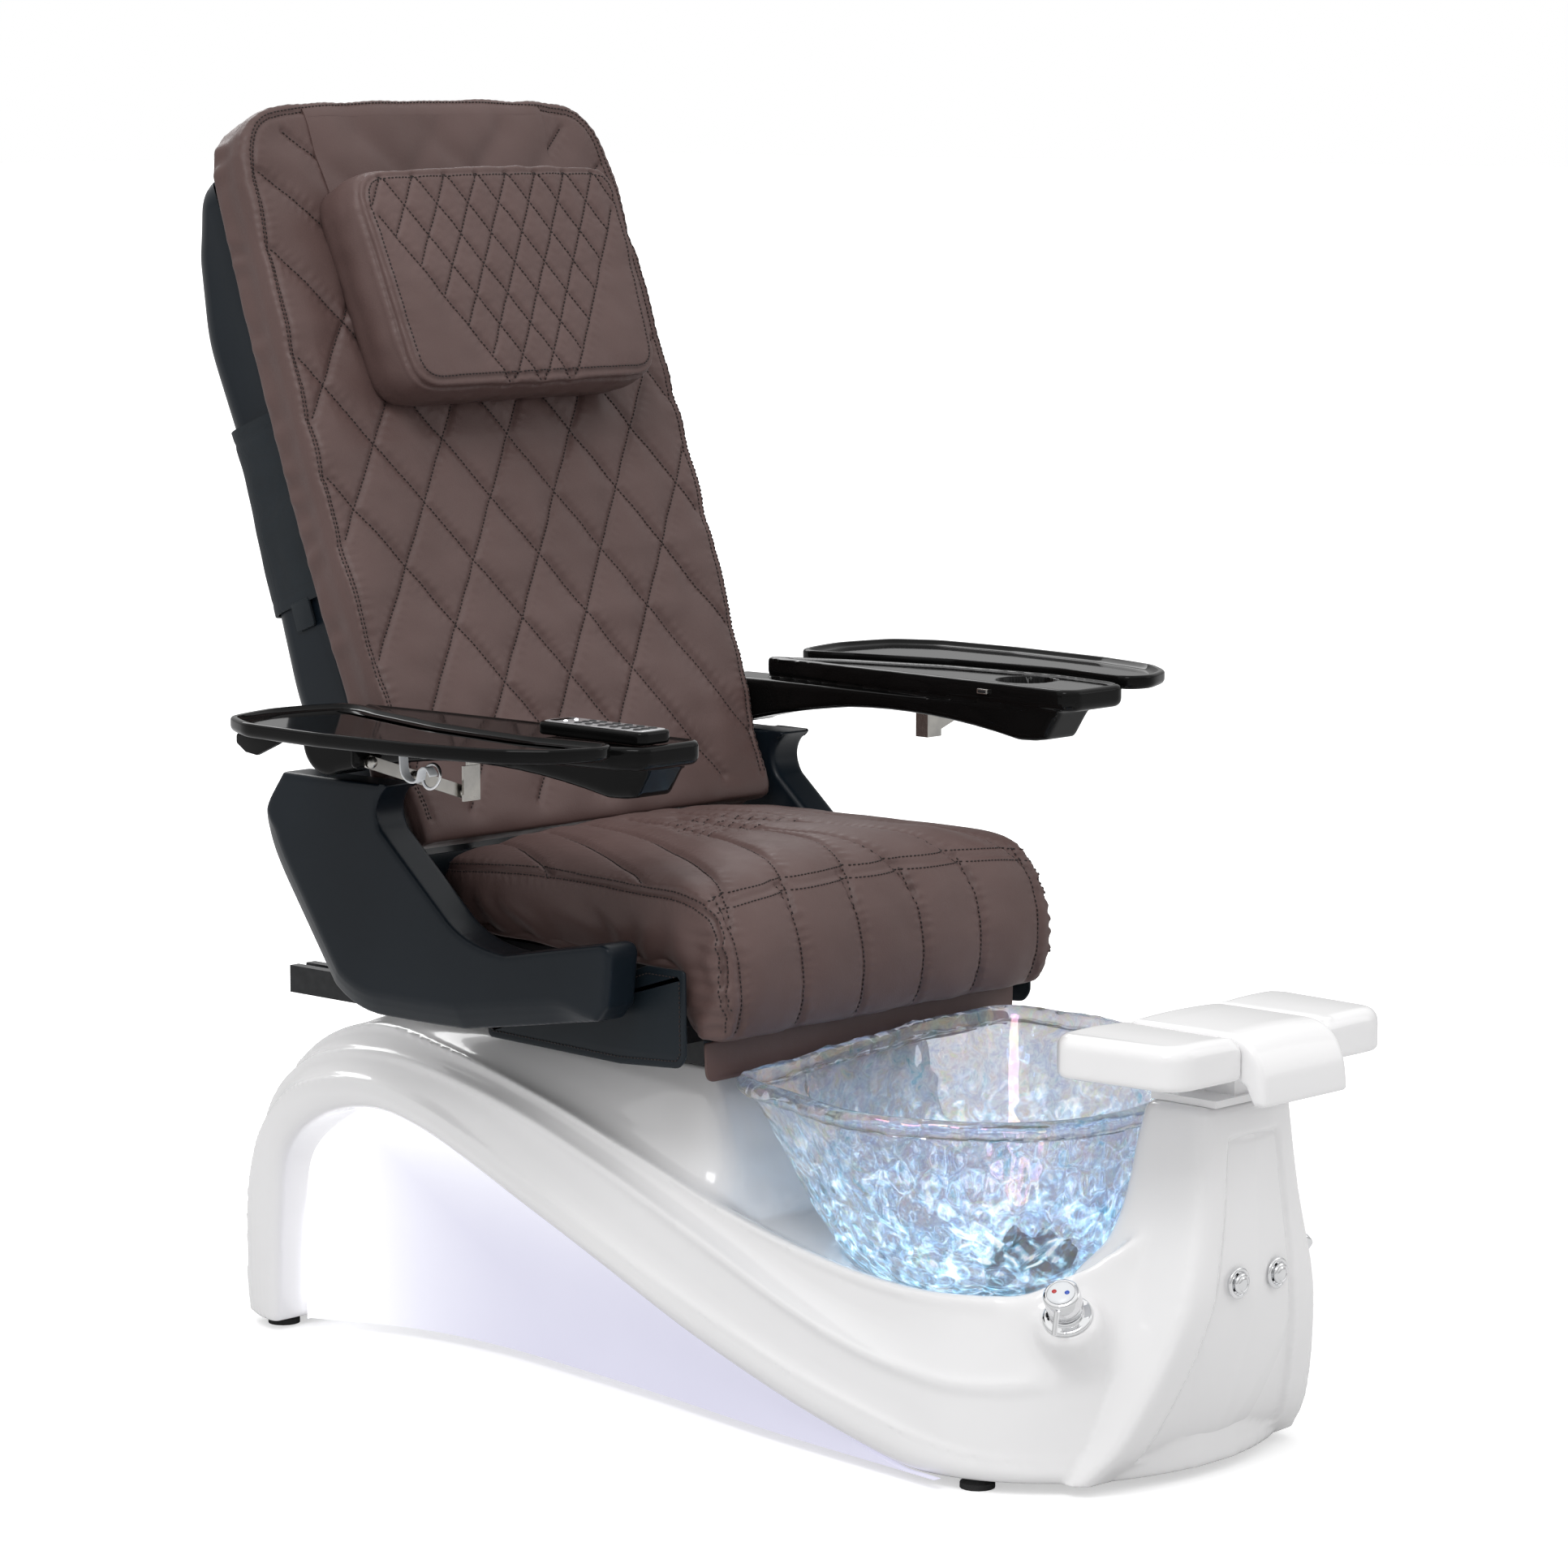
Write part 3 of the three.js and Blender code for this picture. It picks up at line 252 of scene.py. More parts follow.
def light_panel():
    look = Look("light_panel", Base_Color=(0.30, 0.30, 0.34, 1), Roughness=0.3)
    split = look.node("ShaderNodeSeparateXYZ")
    look.link(look.place, split.inputs["Vector"])
    forward = look.span(split.outputs["Y"], 0.0, 1.0, -0.35, 0.56)
    height = look.span(split.outputs["Z"], 0.0, 1.0, 0.0, 0.29)
    near_edge = look.mathed("MAXIMUM", look.mathed("POWER", forward, 9.0), look.mathed("POWER", height, 3.0))
    glow = look.mathed("ADD", near_edge, look.span(look.noise(7, 1), 0.0, 0.06))
    colour = look.ramp(glow, (0.0, (0.82, 0.81, 1.0)), (0.35, (0.90, 0.90, 1.0)), (0.8, (1, 1, 1)))
    look.bump((look.noise(260, 2), 0.05, 0.0004))
    return look.feed(Emission_Color=colour, Emission_Strength=look.span(glow, 0.56, 1.05))


def led():
    look = Look("led", Base_Color=(1, 1, 1, 1))
    dots = look.cells(90)
    strength = look.span(dots, 5.0, 1.5)
    colour = look.ramp(dots, (0.0, (1, 1, 1)), (1.0, (0.8, 0.84, 1)))
    look.bump((dots, 0.2, 0.001))
    return look.feed(Emission_Color=colour, Emission_Strength=strength)


# Hammered glass with thin-film iridescence, plus a painted blue glow on its lower part.
def iridescent_glass():
    look = Look("iridescent_glass", Transmission_Weight=0.86, IOR=1.45, Thin_Film_IOR=1.6)
    split = look.node("ShaderNodeSeparateXYZ")
    look.link(look.place, split.inputs["Vector"])
    film = look.noise(14, 3, distortion=1.8)
    fleck = look.noise(48, 2, distortion=1.4)
    mixed = look.mathed("ADD", look.mathed("MULTIPLY", film, 0.45), look.mathed("MULTIPLY", fleck, 0.55))
    colour = look.ramp(
        mixed,
        (0.34, (0.30, 0.58, 0.78)), (0.41, (0.80, 0.91, 0.97)), (0.46, (0.60, 0.64, 0.86)),
        (0.51, (0.86, 0.93, 0.97)), (0.56, (0.80, 0.72, 0.84)), (0.61, (0.88, 0.88, 0.68)),
        (0.70, (0.36, 0.74, 0.84)),
    )
    # Painted glow: the lower bowl emits blue-to-white light in noise spots, standing in for light and
    # highlights seen through the hammered glass. The bowl is no lamp.
    low = look.span(split.outputs["Z"], 1.0, 0.0, 0.24, 0.37)
    spots = look.span(look.noise(38, 2, distortion=1.6), 0.0, 1.0, 0.50, 0.68)
    blue = look.ramp(spots, (0.0, (0.16, 0.50, 0.95)), (0.6, (0.40, 0.80, 1.0)), (1.0, (0.95, 1.0, 1.0)))
    strength = look.mathed("MULTIPLY", low, look.span(spots, 0.0, 0.7))
    look.bump((look.cells(60, feature="SMOOTH_F1", stretch=(1, 1, 0.6)), 0.10, 0.004))
    return look.feed(
        Base_Color=colour,
        Roughness=look.span(fleck, 0.0, 0.05),
        Thin_Film_Thickness=look.span(film, 200, 420),
        # Emission colour and strength: the painted glow of the lower bowl.
        Emission_Color=blue,
        Emission_Strength=strength,
    )


def metal(name, low, high, rough, scale=40, brush=None, metallic=1.0):
    look = Look(name, Metallic=metallic)
    marks = look.noise(scale, 4, stretch=brush)
    look.bump((marks, 0.04, 0.0005), (look.noise(scale * 12, 2), 0.03, 0.0002))
    colour = look.ramp(marks, (0.3, low), (0.7, high))
    return look.feed(Base_Color=colour, Roughness=look.span(marks, rough * 0.8, rough * 1.3))


def plastic(name, low, high, rough, grain=900, depth=0.06, coat=0.0, ior=1.5):
    look = Look(name, Coat_Weight=coat, Coat_Roughness=0.02, IOR=ior)
    clouds = look.noise(6, 3)
    look.bump((look.noise(18, 1), 0.02, 0.004), (look.noise(grain, 2), depth, 0.0003))
    colour = look.ramp(clouds, (0.3, low), (0.7, high))
    return look.feed(Base_Color=colour, Roughness=look.span(look.noise(30, 4), rough * 0.85, rough * 1.2))


def cloth(name, low, high, pitch=520):
    look = Look(name, Sheen_Weight=0.06, Sheen_Roughness=0.5, Specular_IOR_Level=0.3)
    across = look.wave(pitch, "X")
    along = look.wave(pitch, "Z")
    weave = look.mathed("MULTIPLY", across, along)
    look.bump((look.noise(24, 3), 0.2, 0.004), (weave, 0.35, 0.0005))
    wear = look.mathed("MULTIPLY", look.noise(9, 3), 0.6)
    shade = look.mathed("ADD", look.mathed("MULTIPLY", weave, 0.4), wear)
    colour = look.ramp(shade, (0.2, low), (0.8, high))
    return look.feed(Base_Color=colour, Roughness=look.span(weave, 0.62, 0.85))


def printed_face():
    look = Look("printed_face", Coat_Weight=0.5)
    flecks = look.noise(160, 3)
    look.bump((flecks, 0.03, 0.0004))
    colour = look.ramp(flecks, (0.3, (0.30, 0.30, 0.31)), (0.7, (0.52, 0.52, 0.53)))
    return look.feed(Base_Color=colour, Roughness=look.span(flecks, 0.22, 0.36))


LOOKS = {
    "leather": leather(),
    "thread": thread(),
    "gelcoat": gelcoat(),
    "light_panel": light_panel(),
    "led": led(),
    "glass": iridescent_glass(),
    "chrome": metal("chrome", (0.78, 0.79, 0.80), (0.86, 0.86, 0.87), 0.06),
    "zinc": metal("zinc", (0.42, 0.41, 0.39), (0.58, 0.56, 0.52), 0.24, 60, (1, 14, 1)),
    "steel": metal("steel", (0.016, 0.017, 0.018), (0.030, 0.031, 0.033), 0.42, 90, None, 0.5),
    "black_plastic": plastic("black_plastic", (0.010, 0.010, 0.011), (0.018, 0.018, 0.020), 0.45),
    "gloss_black": plastic(
        "gloss_black", (0.003, 0.003, 0.003), (0.006, 0.006, 0.006), 0.06, 300, 0.01, ior=1.22
    ),
    "navy_plastic": plastic(
        "navy_plastic", (0.0045, 0.008, 0.0125), (0.007, 0.0115, 0.017), 0.32, 1400, 0.10, ior=1.3
    ),
    "navy_fabric": cloth("navy_fabric", (0.006, 0.010, 0.014), (0.014, 0.021, 0.028)),
    "navy_vinyl": plastic(
        "navy_vinyl", (0.006, 0.010, 0.014), (0.009, 0.014, 0.019), 0.40, 700, 0.16, ior=1.3
    ),
    "rubber": plastic("rubber", (0.012, 0.012, 0.012), (0.022, 0.022, 0.022), 0.75, 500, 0.2),
    "frosted": plastic("frosted", (0.74, 0.76, 0.78), (0.84, 0.86, 0.88), 0.3, 400, 0.05),
    "printed": printed_face(),
    "red": plastic("red", (0.45, 0.02, 0.02), (0.55, 0.03, 0.03), 0.3),
    "blue": plastic("blue", (0.02, 0.08, 0.45), (0.03, 0.10, 0.55), 0.3),
}


# ------------------------------------------------------------------ mesh helpers


def to_row(points):
    return (np.asarray(points, float).reshape(-1, 3) + (0, SHIFT, 0)) / 1000


def new_object(name, coordinates, faces, look, sharp=38):
    """Object from coordinates in metres, its faces turned outwards and shaded smooth."""
    mesh = bpy.data.meshes.new(name)
    mesh.from_pydata(np.asarray(coordinates).tolist(), [], [list(map(int, f)) for f in faces])
    work = bmesh.new()
    work.from_mesh(mesh)
    bmesh.ops.remove_doubles(work, verts=work.verts, dist=1e-6)
    bmesh.ops.recalc_face_normals(work, faces=work.faces)
    work.to_mesh(mesh)
    work.free()
    mesh.shade_smooth()
    mesh.set_sharp_from_angle(angle=math.radians(sharp))
    mesh.materials.append(LOOKS[look])
    obj = bpy.data.objects.new(name, mesh)
    bpy.context.scene.collection.objects.link(obj)
    return obj


def settle(obj, body, look, *nodes):
    """Ties a finished piece to its body and hides the CAD nodes it stands for; the look it is given is not
    used.
    """
    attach(obj, body)
    if nodes:
        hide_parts(*nodes)
    return obj


def piece(name, points, faces, look, body, *nodes, sharp=38):
    return settle(new_object(name, to_row(points), faces, look, sharp), body, look, *nodes)


def activate(obj):
    bpy.ops.object.select_all(action="DESELECT")
    obj.select_set(True)
    bpy.context.view_layer.objects.active = obj


def apply_modifiers(obj):
    activate(obj)
    for modifier in list(obj.modifiers):
        bpy.ops.object.modifier_apply(modifier=modifier.name)


def carve(obj, *tools):
    """Cuts closed tools, given as (points, faces), out of a closed piece."""
    for points, faces in tools:
        tool = new_object("tool", to_row(points), faces, "gelcoat")
        made = obj.modifiers.new("carve", "BOOLEAN")
        made.operation = "DIFFERENCE"
        made.solver = "EXACT"
        made.object = tool
        apply_modifiers(obj)
        bpy.data.objects.remove(tool)


def fused(name, size, rounds, *objects):
    """Closed pieces joined, remeshed as one skin and smoothed."""
    activate(objects[0])
    for other in objects[1:]:
        other.select_set(True)
    bpy.ops.object.join()
    objects[0].name = name
    remesh(objects[0], size)
    relax(objects[0], rounds)
    return objects[0]


def remesh(obj, size):
    made = obj.modifiers.new("remesh", "REMESH")
    made.mode = "VOXEL"
    made.voxel_size = size
    made.use_smooth_shade = True
    apply_modifiers(obj)


def relax(obj, rounds, factor=0.5):
    made = obj.modifiers.new("relax", "SMOOTH")
    made.factor = factor
    made.iterations = rounds
    apply_modifiers(obj)


def subdivide(obj):
    made = obj.modifiers.new("finer", "SUBSURF")
    made.levels = 1
    apply_modifiers(obj)


def coordinates_of(obj):
    values = np.empty(len(obj.data.vertices) * 3)
    obj.data.vertices.foreach_get("co", values)
    return values.reshape(-1, 3)


def normals_of(obj):
    values = np.empty(len(obj.data.vertices) * 3, np.float32)
    obj.data.vertex_normals.foreach_get("vector", values)
    return values.reshape(-1, 3).astype(float)


def set_coordinates(obj, coordinates):
    obj.data.vertices.foreach_set("co", np.ascontiguousarray(coordinates, float).ravel())
    obj.data.update()


def weigh(obj, name, weights):
    """A vertex group that holds every weight above 0.02."""
    group = obj.vertex_groups.new(name=name)
    for i in np.nonzero(weights > 0.02)[0]:
        group.add([int(i)], float(weights[i]), "REPLACE")
    return group


def ring_faces(rings, count, closed=True):
    """Quads between equal rings of vertices numbered one after the other."""
    faces = []
    last = count if closed else count - 1
    for level in range(rings - 1):
        low, high = level * count, (level + 1) * count
        for i in range(last):
            j = (i + 1) % count
            faces.append((low + i, low + j, high + j, high + i))
    return faces


def two_sided_faces(rows, count):
    """Faces of a grid of vertices and of its twin, numbered after it, closed round their rim."""
    total = rows * count
    near = ring_faces(rows, count, closed=False)
    far = [tuple(v + total for v in face) for face in near]
    rim = [i * count for i in range(rows)] + [(rows - 1) * count + j for j in range(1, count)]
    rim += [i * count + count - 1 for i in range(rows - 2, -1, -1)] + list(range(count - 2, 0, -1))
    return near + far + [(a, b, b + total, a + total) for a, b in zip(rim, rim[1:] + rim[:1])]


def loft(rings, caps=True):
    """Closed rings of points joined into a surface, with a flat face on each end."""
    count = len(rings[0])
    points = np.concatenate([np.asarray(r, float) for r in rings])
    faces = ring_faces(len(rings), count)
    if caps:
        faces.append(list(range(count))[::-1])
        faces.append(list(range(len(points) - count, len(points))))
    return points, faces


def spline(points, per_span=8, closed=False):
    """Centripetal Catmull-Rom curve through points of any dimension."""
    p = np.asarray(points, float)
    if closed:
        p = np.vstack([p[-1], p, p[0], p[1]])
    else:
        p = np.vstack([2 * p[0] - p[1], p, 2 * p[-1] - p[-2]])
    out = []
    for a, b, c, d in zip(p, p[1:], p[2:], p[3:]):
        knots = [0.0]
        for u, v in ((a, b), (b, c), (c, d)):
            knots.append(knots[-1] + max(np.linalg.norm(v - u), 1e-6) ** 0.5)
        t0, t1, t2, t3 = knots
        for t in np.linspace(t1, t2, per_span, endpoint=False):
            a1 = (t1 - t) / (t1 - t0) * a + (t - t0) / (t1 - t0) * b
            a2 = (t2 - t) / (t2 - t1) * b + (t - t1) / (t2 - t1) * c
            a3 = (t3 - t) / (t3 - t2) * c + (t - t2) / (t3 - t2) * d
            b1 = (t2 - t) / (t2 - t0) * a1 + (t - t0) / (t2 - t0) * a2
            b2 = (t3 - t) / (t3 - t1) * a2 + (t - t1) / (t3 - t1) * a3
            out.append((t2 - t) / (t2 - t1) * b1 + (t - t1) / (t2 - t1) * b2)
    if not closed:
        out.append(p[-2])
    return np.array(out)


def resample(points, step=None, count=None, closed=False):
    """Points at an even spacing along a line."""
    p = np.asarray(points, float)
    if closed:
        p = np.vstack([p, p[:1]])
    lengths = np.r_[0, np.cumsum(np.linalg.norm(np.diff(p, axis=0), axis=1))]
    if count is None:
        count = max(2, int(round(lengths[-1] / step)) + (0 if closed else 1))
    at = np.linspace(0, lengths[-1], count, endpoint=not closed)
    return np.stack([np.interp(at, lengths, p[:, k]) for k in range(p.shape[1])], 1)


def rounded(points, radius, arc=6):
    """Closed polygon with every corner rounded; radius is one number or one per corner."""
    p = np.asarray(points, float)
    radii = np.broadcast_to(radius, len(p))
    out = []
    for i, (corner, r) in enumerate(zip(p, radii)):
        before, after = p[i - 1] - corner, p[(i + 1) % len(p)] - corner
        la, lb = np.linalg.norm(before), np.linalg.norm(after)
        before, after = before / la, after / lb
        angle = math.acos(max(-1, min(1, before @ after)))
        reach = min(r / max(math.tan(angle / 2), 1e-3), la * 0.49, lb * 0.49)
        a, b = corner + before * reach, corner + after * reach
        for t in np.linspace(0, 1, arc):
            out.append((1 - t) ** 2 * a + 2 * t * (1 - t) * corner + t * t * b)
    return np.array(out)


def inward(outline):
    """Unit normals that point into a closed outline."""
    ahead = np.roll(outline, -1, 0) - np.roll(outline, 1, 0)
    normals = np.stack([-ahead[:, 1], ahead[:, 0]], 1)
    normals /= np.maximum(np.linalg.norm(normals, axis=1)[:, None], 1e-9)
    x, y = outline.T
    area = np.sum(x * np.roll(y, -1) - np.roll(x, -1) * y)
    return normals if area > 0 else -normals


def lay(outline, depth, plane):
    """An outline of the given plane ("yz", "xz" or "xy") at a depth along the third axis."""
    a, b = outline.T
    c = np.broadcast_to(depth, a.shape)
    order = {"yz": (c, a, b), "xz": (a, c, b), "xy": (a, b, c)}[plane]
    return np.stack(order, 1)


def slab(outline, low, high, edge, plane, edge_low=None, steps=5, extra=()):
    """Outline thickened between two depths, its edges rounded; extra adds (inset, depth) rings on top."""
    edge_low = edge if edge_low is None else edge_low
    normal = inward(outline)
    rings = []
    for t in np.linspace(0, math.pi / 2, steps):
        rings.append((edge_low * (1 - math.sin(t)), low + edge_low * (1 - math.cos(t))))
    for t in np.linspace(0, math.pi / 2, steps):
        rings.append((edge * (1 - math.cos(t)), high - edge * (1 - math.sin(t))))
    rings += list(extra)
    return loft([lay(outline + normal * inset, depth, plane) for inset, depth in rings])


def mirrored(points, side):
    p = np.array(points, float)
    p[:, 0] *= side
    return p


def lathe(profile, origin, axis, turns=40):
    """Surface of revolution: profile is (radius, height along the axis) pairs."""
    axis = np.asarray(axis, float) / np.linalg.norm(axis)
    side = np.cross(axis, (0, 0, 1) if abs(axis[2]) < 0.9 else (1, 0, 0))
    side /= np.linalg.norm(side)
    other = np.cross(axis, side)
    angles = np.linspace(0, 2 * math.pi, turns, endpoint=False)
    rings = []
    for radius, height in profile:
        circle = np.outer(np.cos(angles), side) + np.outer(np.sin(angles), other)
        rings.append(np.asarray(origin) + axis * height + circle * max(radius, 0.05))
    return loft(rings)


def merged(*parts):
    """Several (points, faces) pairs as one."""
    points, faces, start = [], [], 0
    for p, f in parts:
        points.append(np.asarray(p, float))
        faces += [[i + start for i in face] for face in f]
        start += len(p)
    return np.concatenate(points), faces


def smoothstep(values, low, high):
    t = np.clip((np.asarray(values, float) - low) / (high - low), 0, 1)
    return t * t * (3 - 2 * t)


RANDOM = np.random.default_rng(7)
WAVES = [(RANDOM.normal(size=3), RANDOM.uniform(0, 6.28)) for _ in range(24)]


def ripple(points, length):
    """Smooth pseudo-random values about 0 for points in mm, with features about that long."""
    total = np.zeros(len(points))
    for direction, phase in WAVES:
        total += np.sin(points @ direction * (2.2 / length) * 2 + phase)
    return total / math.sqrt(len(WAVES))


# ------------------------------------------------------------------ base shell

BASE_FLOOR = 12
DECK_TOP = 388
RIDGE_BEAD = 2.4  # how far the thin ridge along each line stands out
BASE_NOSE = -631

# Side-view lines (y, z) from the rear floor over the arch to the nose
CREST = [(655, 12), (641, 150), (604, 280), (540, 350), (440, 386), (320, 372), (150, 332), (0, 285),
         (-130, 243), (-250, 215), (-350, 202), (-435, 201), (-517, 213), (-556, 238), (-600, 272),
         (-631, 285)]
MIDDLE = [(650, 12), (638, 145), (600, 278), (528, 337), (410, 357), (250, 336), (73, 284), (-96, 219),
          (-241, 160), (-340, 130), (-420, 118), (-478, 116), (-553, 126), (-592, 155), (-612, 200),
          (-631, 240)]
LOWER = [(646, 12), (634, 140), (606, 235), (545, 300), (437, 326), (326, 310), (153, 245), (-47, 162),
         (-248, 92), (-360, 64), (-440, 48), (-520, 38), (-580, 36), (-631, 36)]
WINDOW = [(578, 12), (570, 150), (556, 222), (500, 270), (410, 293), (326, 281), (153, 213), (38, 165),
          (-103, 105), (-248, 54), (-350, 26), (-410, 14), (-470, 12), (-560, 12), (-631, 12)]
# Half widths (y, x) along each line
CREST_HALF = [(-631, 80), (-600, 96), (-573, 124), (-556, 154), (-517, 193), (-435, 214), (-205, 222),
              (60, 229), (450, 232), (655, 232)]
MIDDLE_HALF = [(-631, 60), (-612, 96), (-592, 146), (-553, 196), (-478, 234), (-377, 241), (0, 248),
               (500, 250), (655, 250)]
LOWER_HALF = [(-631, 30), (-622, 80), (-600, 142), (-570, 182), (-530, 217), (-480, 241), (-440, 249),
              (-300, 253), (610, 268), (636, 261), (655, 226)]

COLUMN_HALF = [(12, 184), (50, 166), (125, 140), (200, 116), (300, 88), (410, 75)]
COLUMN_FACE = [(12, -604), (50, -634), (125, -664), (200, -682), (262, -684), (410, -676)]
COLUMN_BACK = [(12, -470), (205, -500), (262, -545), (371, -569), (410, -578)]
PANEL_LOW, PANEL_HIGH = 34, 377  # the front panel, along Z
PANEL_HALF = [(34, 118), (110, 92), (190, 69), (290, 52), (377, 41)]


def along(table):
    """Smooth function through (position, value) pairs."""
    curve = spline(table, 12)
    order = np.argsort(curve[:, 0])
    return lambda at: np.interp(at, curve[order, 0], curve[order, 1])


crest_half, middle_half, lower_half = along(CREST_HALF), along(MIDDLE_HALF), along(LOWER_HALF)
column_half, column_face, column_back = along(COLUMN_HALF), along(COLUMN_FACE), along(COLUMN_BACK)
panel_half = along(PANEL_HALF)


def stations(line, rear, front):
    """The line as rear points up to its top, then front points at even steps in y to the nose."""
    curve = spline(line, 14)
    top = int(np.argmax(curve[:, 1]))
    arch = resample(curve[: top + 1], count=rear)
    order = np.argsort(curve[top:, 0])
    ys = np.linspace(curve[top, 0], BASE_NOSE, front + 1)[1:]
    zs = np.interp(ys, curve[top:][order, 0], curve[top:][order, 1])
    return np.vstack([arch, np.stack([ys, zs], 1)])


def deck_rise(x, y, crest_x, crest_z):
    """Height of the deck above the crest line: the rails' plinth, the dish round the bowl and the nose."""
    inset = crest_x - np.abs(x)
    plinth = (DECK_TOP - crest_z) * smoothstep(inset, 10, 66) * smoothstep(y, -118, -38)
    plinth = plinth * (1 - smoothstep(y, 440, 520))
    dish = -26 * smoothstep(inset, 3, 62) * (1 - smoothstep(y, -110, -45)) * smoothstep(y, -640, -545)
    return np.maximum(plinth, 0) + dish


def hull():
    rear, front = 54, 150
    lines = [stations(line, rear, front) for line in (WINDOW, LOWER, MIDDLE, CREST)]
    rings = []
    for window, lower, middle, crest in zip(*lines):
        xw, xl = lower_half(window[0]) - 1, lower_half(lower[0])
        xm, xc = min(middle_half(middle[0]), xl - 2), crest_half(crest[0])
        xc = min(xc, xm - 2)
        half = []
        for q in np.linspace(0, 1, 8, endpoint=False):
            half.append((xw * q * 0.985, window[0], window[1]))
        for t in (0, 0.06, 0.16, 0.3, 0.45, 0.6, 0.75, 0.88, 0.96):
            bulge = 4.5 * math.sin(math.pi * t) - 6 * (1 - min(1, t / 0.14)) ** 2
            x = xw + (xl - xw) * t + bulge
            half.append((x, *(window + (lower - window) * t)))
        for (x0, a), (x1, b) in (((xl, lower), (xm, middle)), ((xm, middle), (xc, crest))):
            open_front = float(smoothstep(-a[0], 260, 480))
            power = 3.4 - 2.2 * open_front
            for t in (0, 0.04, 0.1, 0.2, 0.33, 0.48, 0.64, 0.8, 0.92):
                lean = 1 - (1 - t) ** power
                bead = RIDGE_BEAD * (max(0, 1 - t / 0.06) + max(0, (t - 0.88) / 0.04))
                half.append((x0 + (x1 - x0) * lean + bead, *(a + (b - a) * t)))
        for q in (1, 0.985, 0.955, 0.92, 0.88, 0.84, 0.79, 0.73, 0.66, 0.55, 0.4, 0.2):
            x = xc * q
            rise = float(deck_rise(x, crest[0], xc, crest[1])) if crest[0] < 530 else 0
            swell = 5 * (1 - q * q) * float(smoothstep(crest[0], 500, 640))
            half.append((x, crest[0] + swell, crest[1] + rise))
        top = (0, crest[0], half[-1][2])
        mirror = [(-x, y, z) for x, y, z in half[:0:-1]]
        rings.append(half + [top] + mirror)
    return loft(rings)


def column():
    rings = []
    heights = [*np.linspace(BASE_FLOOR, 392, 56), 398, 403, 407, 409.5, 410]
    for z in heights:
        shrink = 10 * (1 - math.sqrt(max(0, 1 - ((max(z, 400) - 400) / 10) ** 2)))
        half, face, back = column_half(z) - shrink, column_face(z) + shrink, column_back(z) - shrink
        plan = [(-half, face + 7), (half, face + 7), (half - 6, back), (6 - half, back)]
        ring = resample(rounded(plan, (16, 16, 24, 24), 8), count=120, closed=True)
        bow = 7 * (1 - (ring[:, 0] / half) ** 2)
        ring[:, 1] -= np.where(ring[:, 1] < (face + back) / 2, bow, 0)
        start = int(np.argmin(np.abs(ring[:, 0]) + (ring[:, 1] > -600) * 1e3))
        rings.append(lay(np.roll(ring, -start, 0), z, "xy"))
    return loft(rings)


def panel_tool(grow, outer, inner):
    rings = []
    for z in np.linspace(PANEL_LOW - grow, PANEL_HIGH + grow, 40):
        half, face = panel_half(min(max(z, PANEL_LOW), PANEL_HIGH)) + grow, column_face(z)
        xs = np.linspace(-half, half, 24)
        bow = 7 * (xs / column_half(z)) ** 2
        near = np.stack([xs, face + bow + outer], 1)
        far = np.stack([xs[::-1], face + bow[::-1] + inner], 1)
        rings.append(lay(np.vstack([near, far]), z, "xy"))
    return loft(rings)


# ------------------------------------------------------------------ bowl

BOWL_Y = -325
BOWL_FOOT = 172.3
BOWL_RIM = 396
BOWL_WAVE = 20
BOWL_ROUND = 205
RIM_TURNS = [(0, 252), (20, 262), (39, 292), (55, 236), (90, 191), (125, 236), (141, 292), (160, 262),
             (180, 252), (198, 231), (225, 214), (270, 208), (315, 214), (342, 231)]


def rim_radius():
    around = [(a - 360, r) for a, r in RIM_TURNS] + RIM_TURNS + [(a + 360, r) for a, r in RIM_TURNS]
    return along(around)


rim_at = rim_radius()


def bowl_ring(level, reach, grow, count):
    angles = np.arange(count) * 360 / count
    turn = np.radians(angles)
    radius = (BOWL_ROUND + (rim_at(angles) - BOWL_ROUND) * max(level, 0) ** 1.6) * reach + grow
    rim = BOWL_RIM + BOWL_WAVE * np.cos(np.radians(angles - 50))
    z = BOWL_FOOT + (rim - BOWL_FOOT) * level
    return np.stack([radius * np.cos(turn), BOWL_Y + radius * np.sin(turn), z], 1)


BOWL_PROFILE = along([(0, 0.62), (0.06, 0.76), (0.2, 0.88), (0.45, 0.955), (0.8, 0.985), (1, 1)])


def bowl_pocket():
    levels = [-0.02, 0.0, 0.03, 0.06, 0.12, 0.2, 0.32, 0.45, 0.7, 1.1]
    return loft([bowl_ring(v, float(BOWL_PROFILE(max(v, 0))), 7, 96) for v in levels])


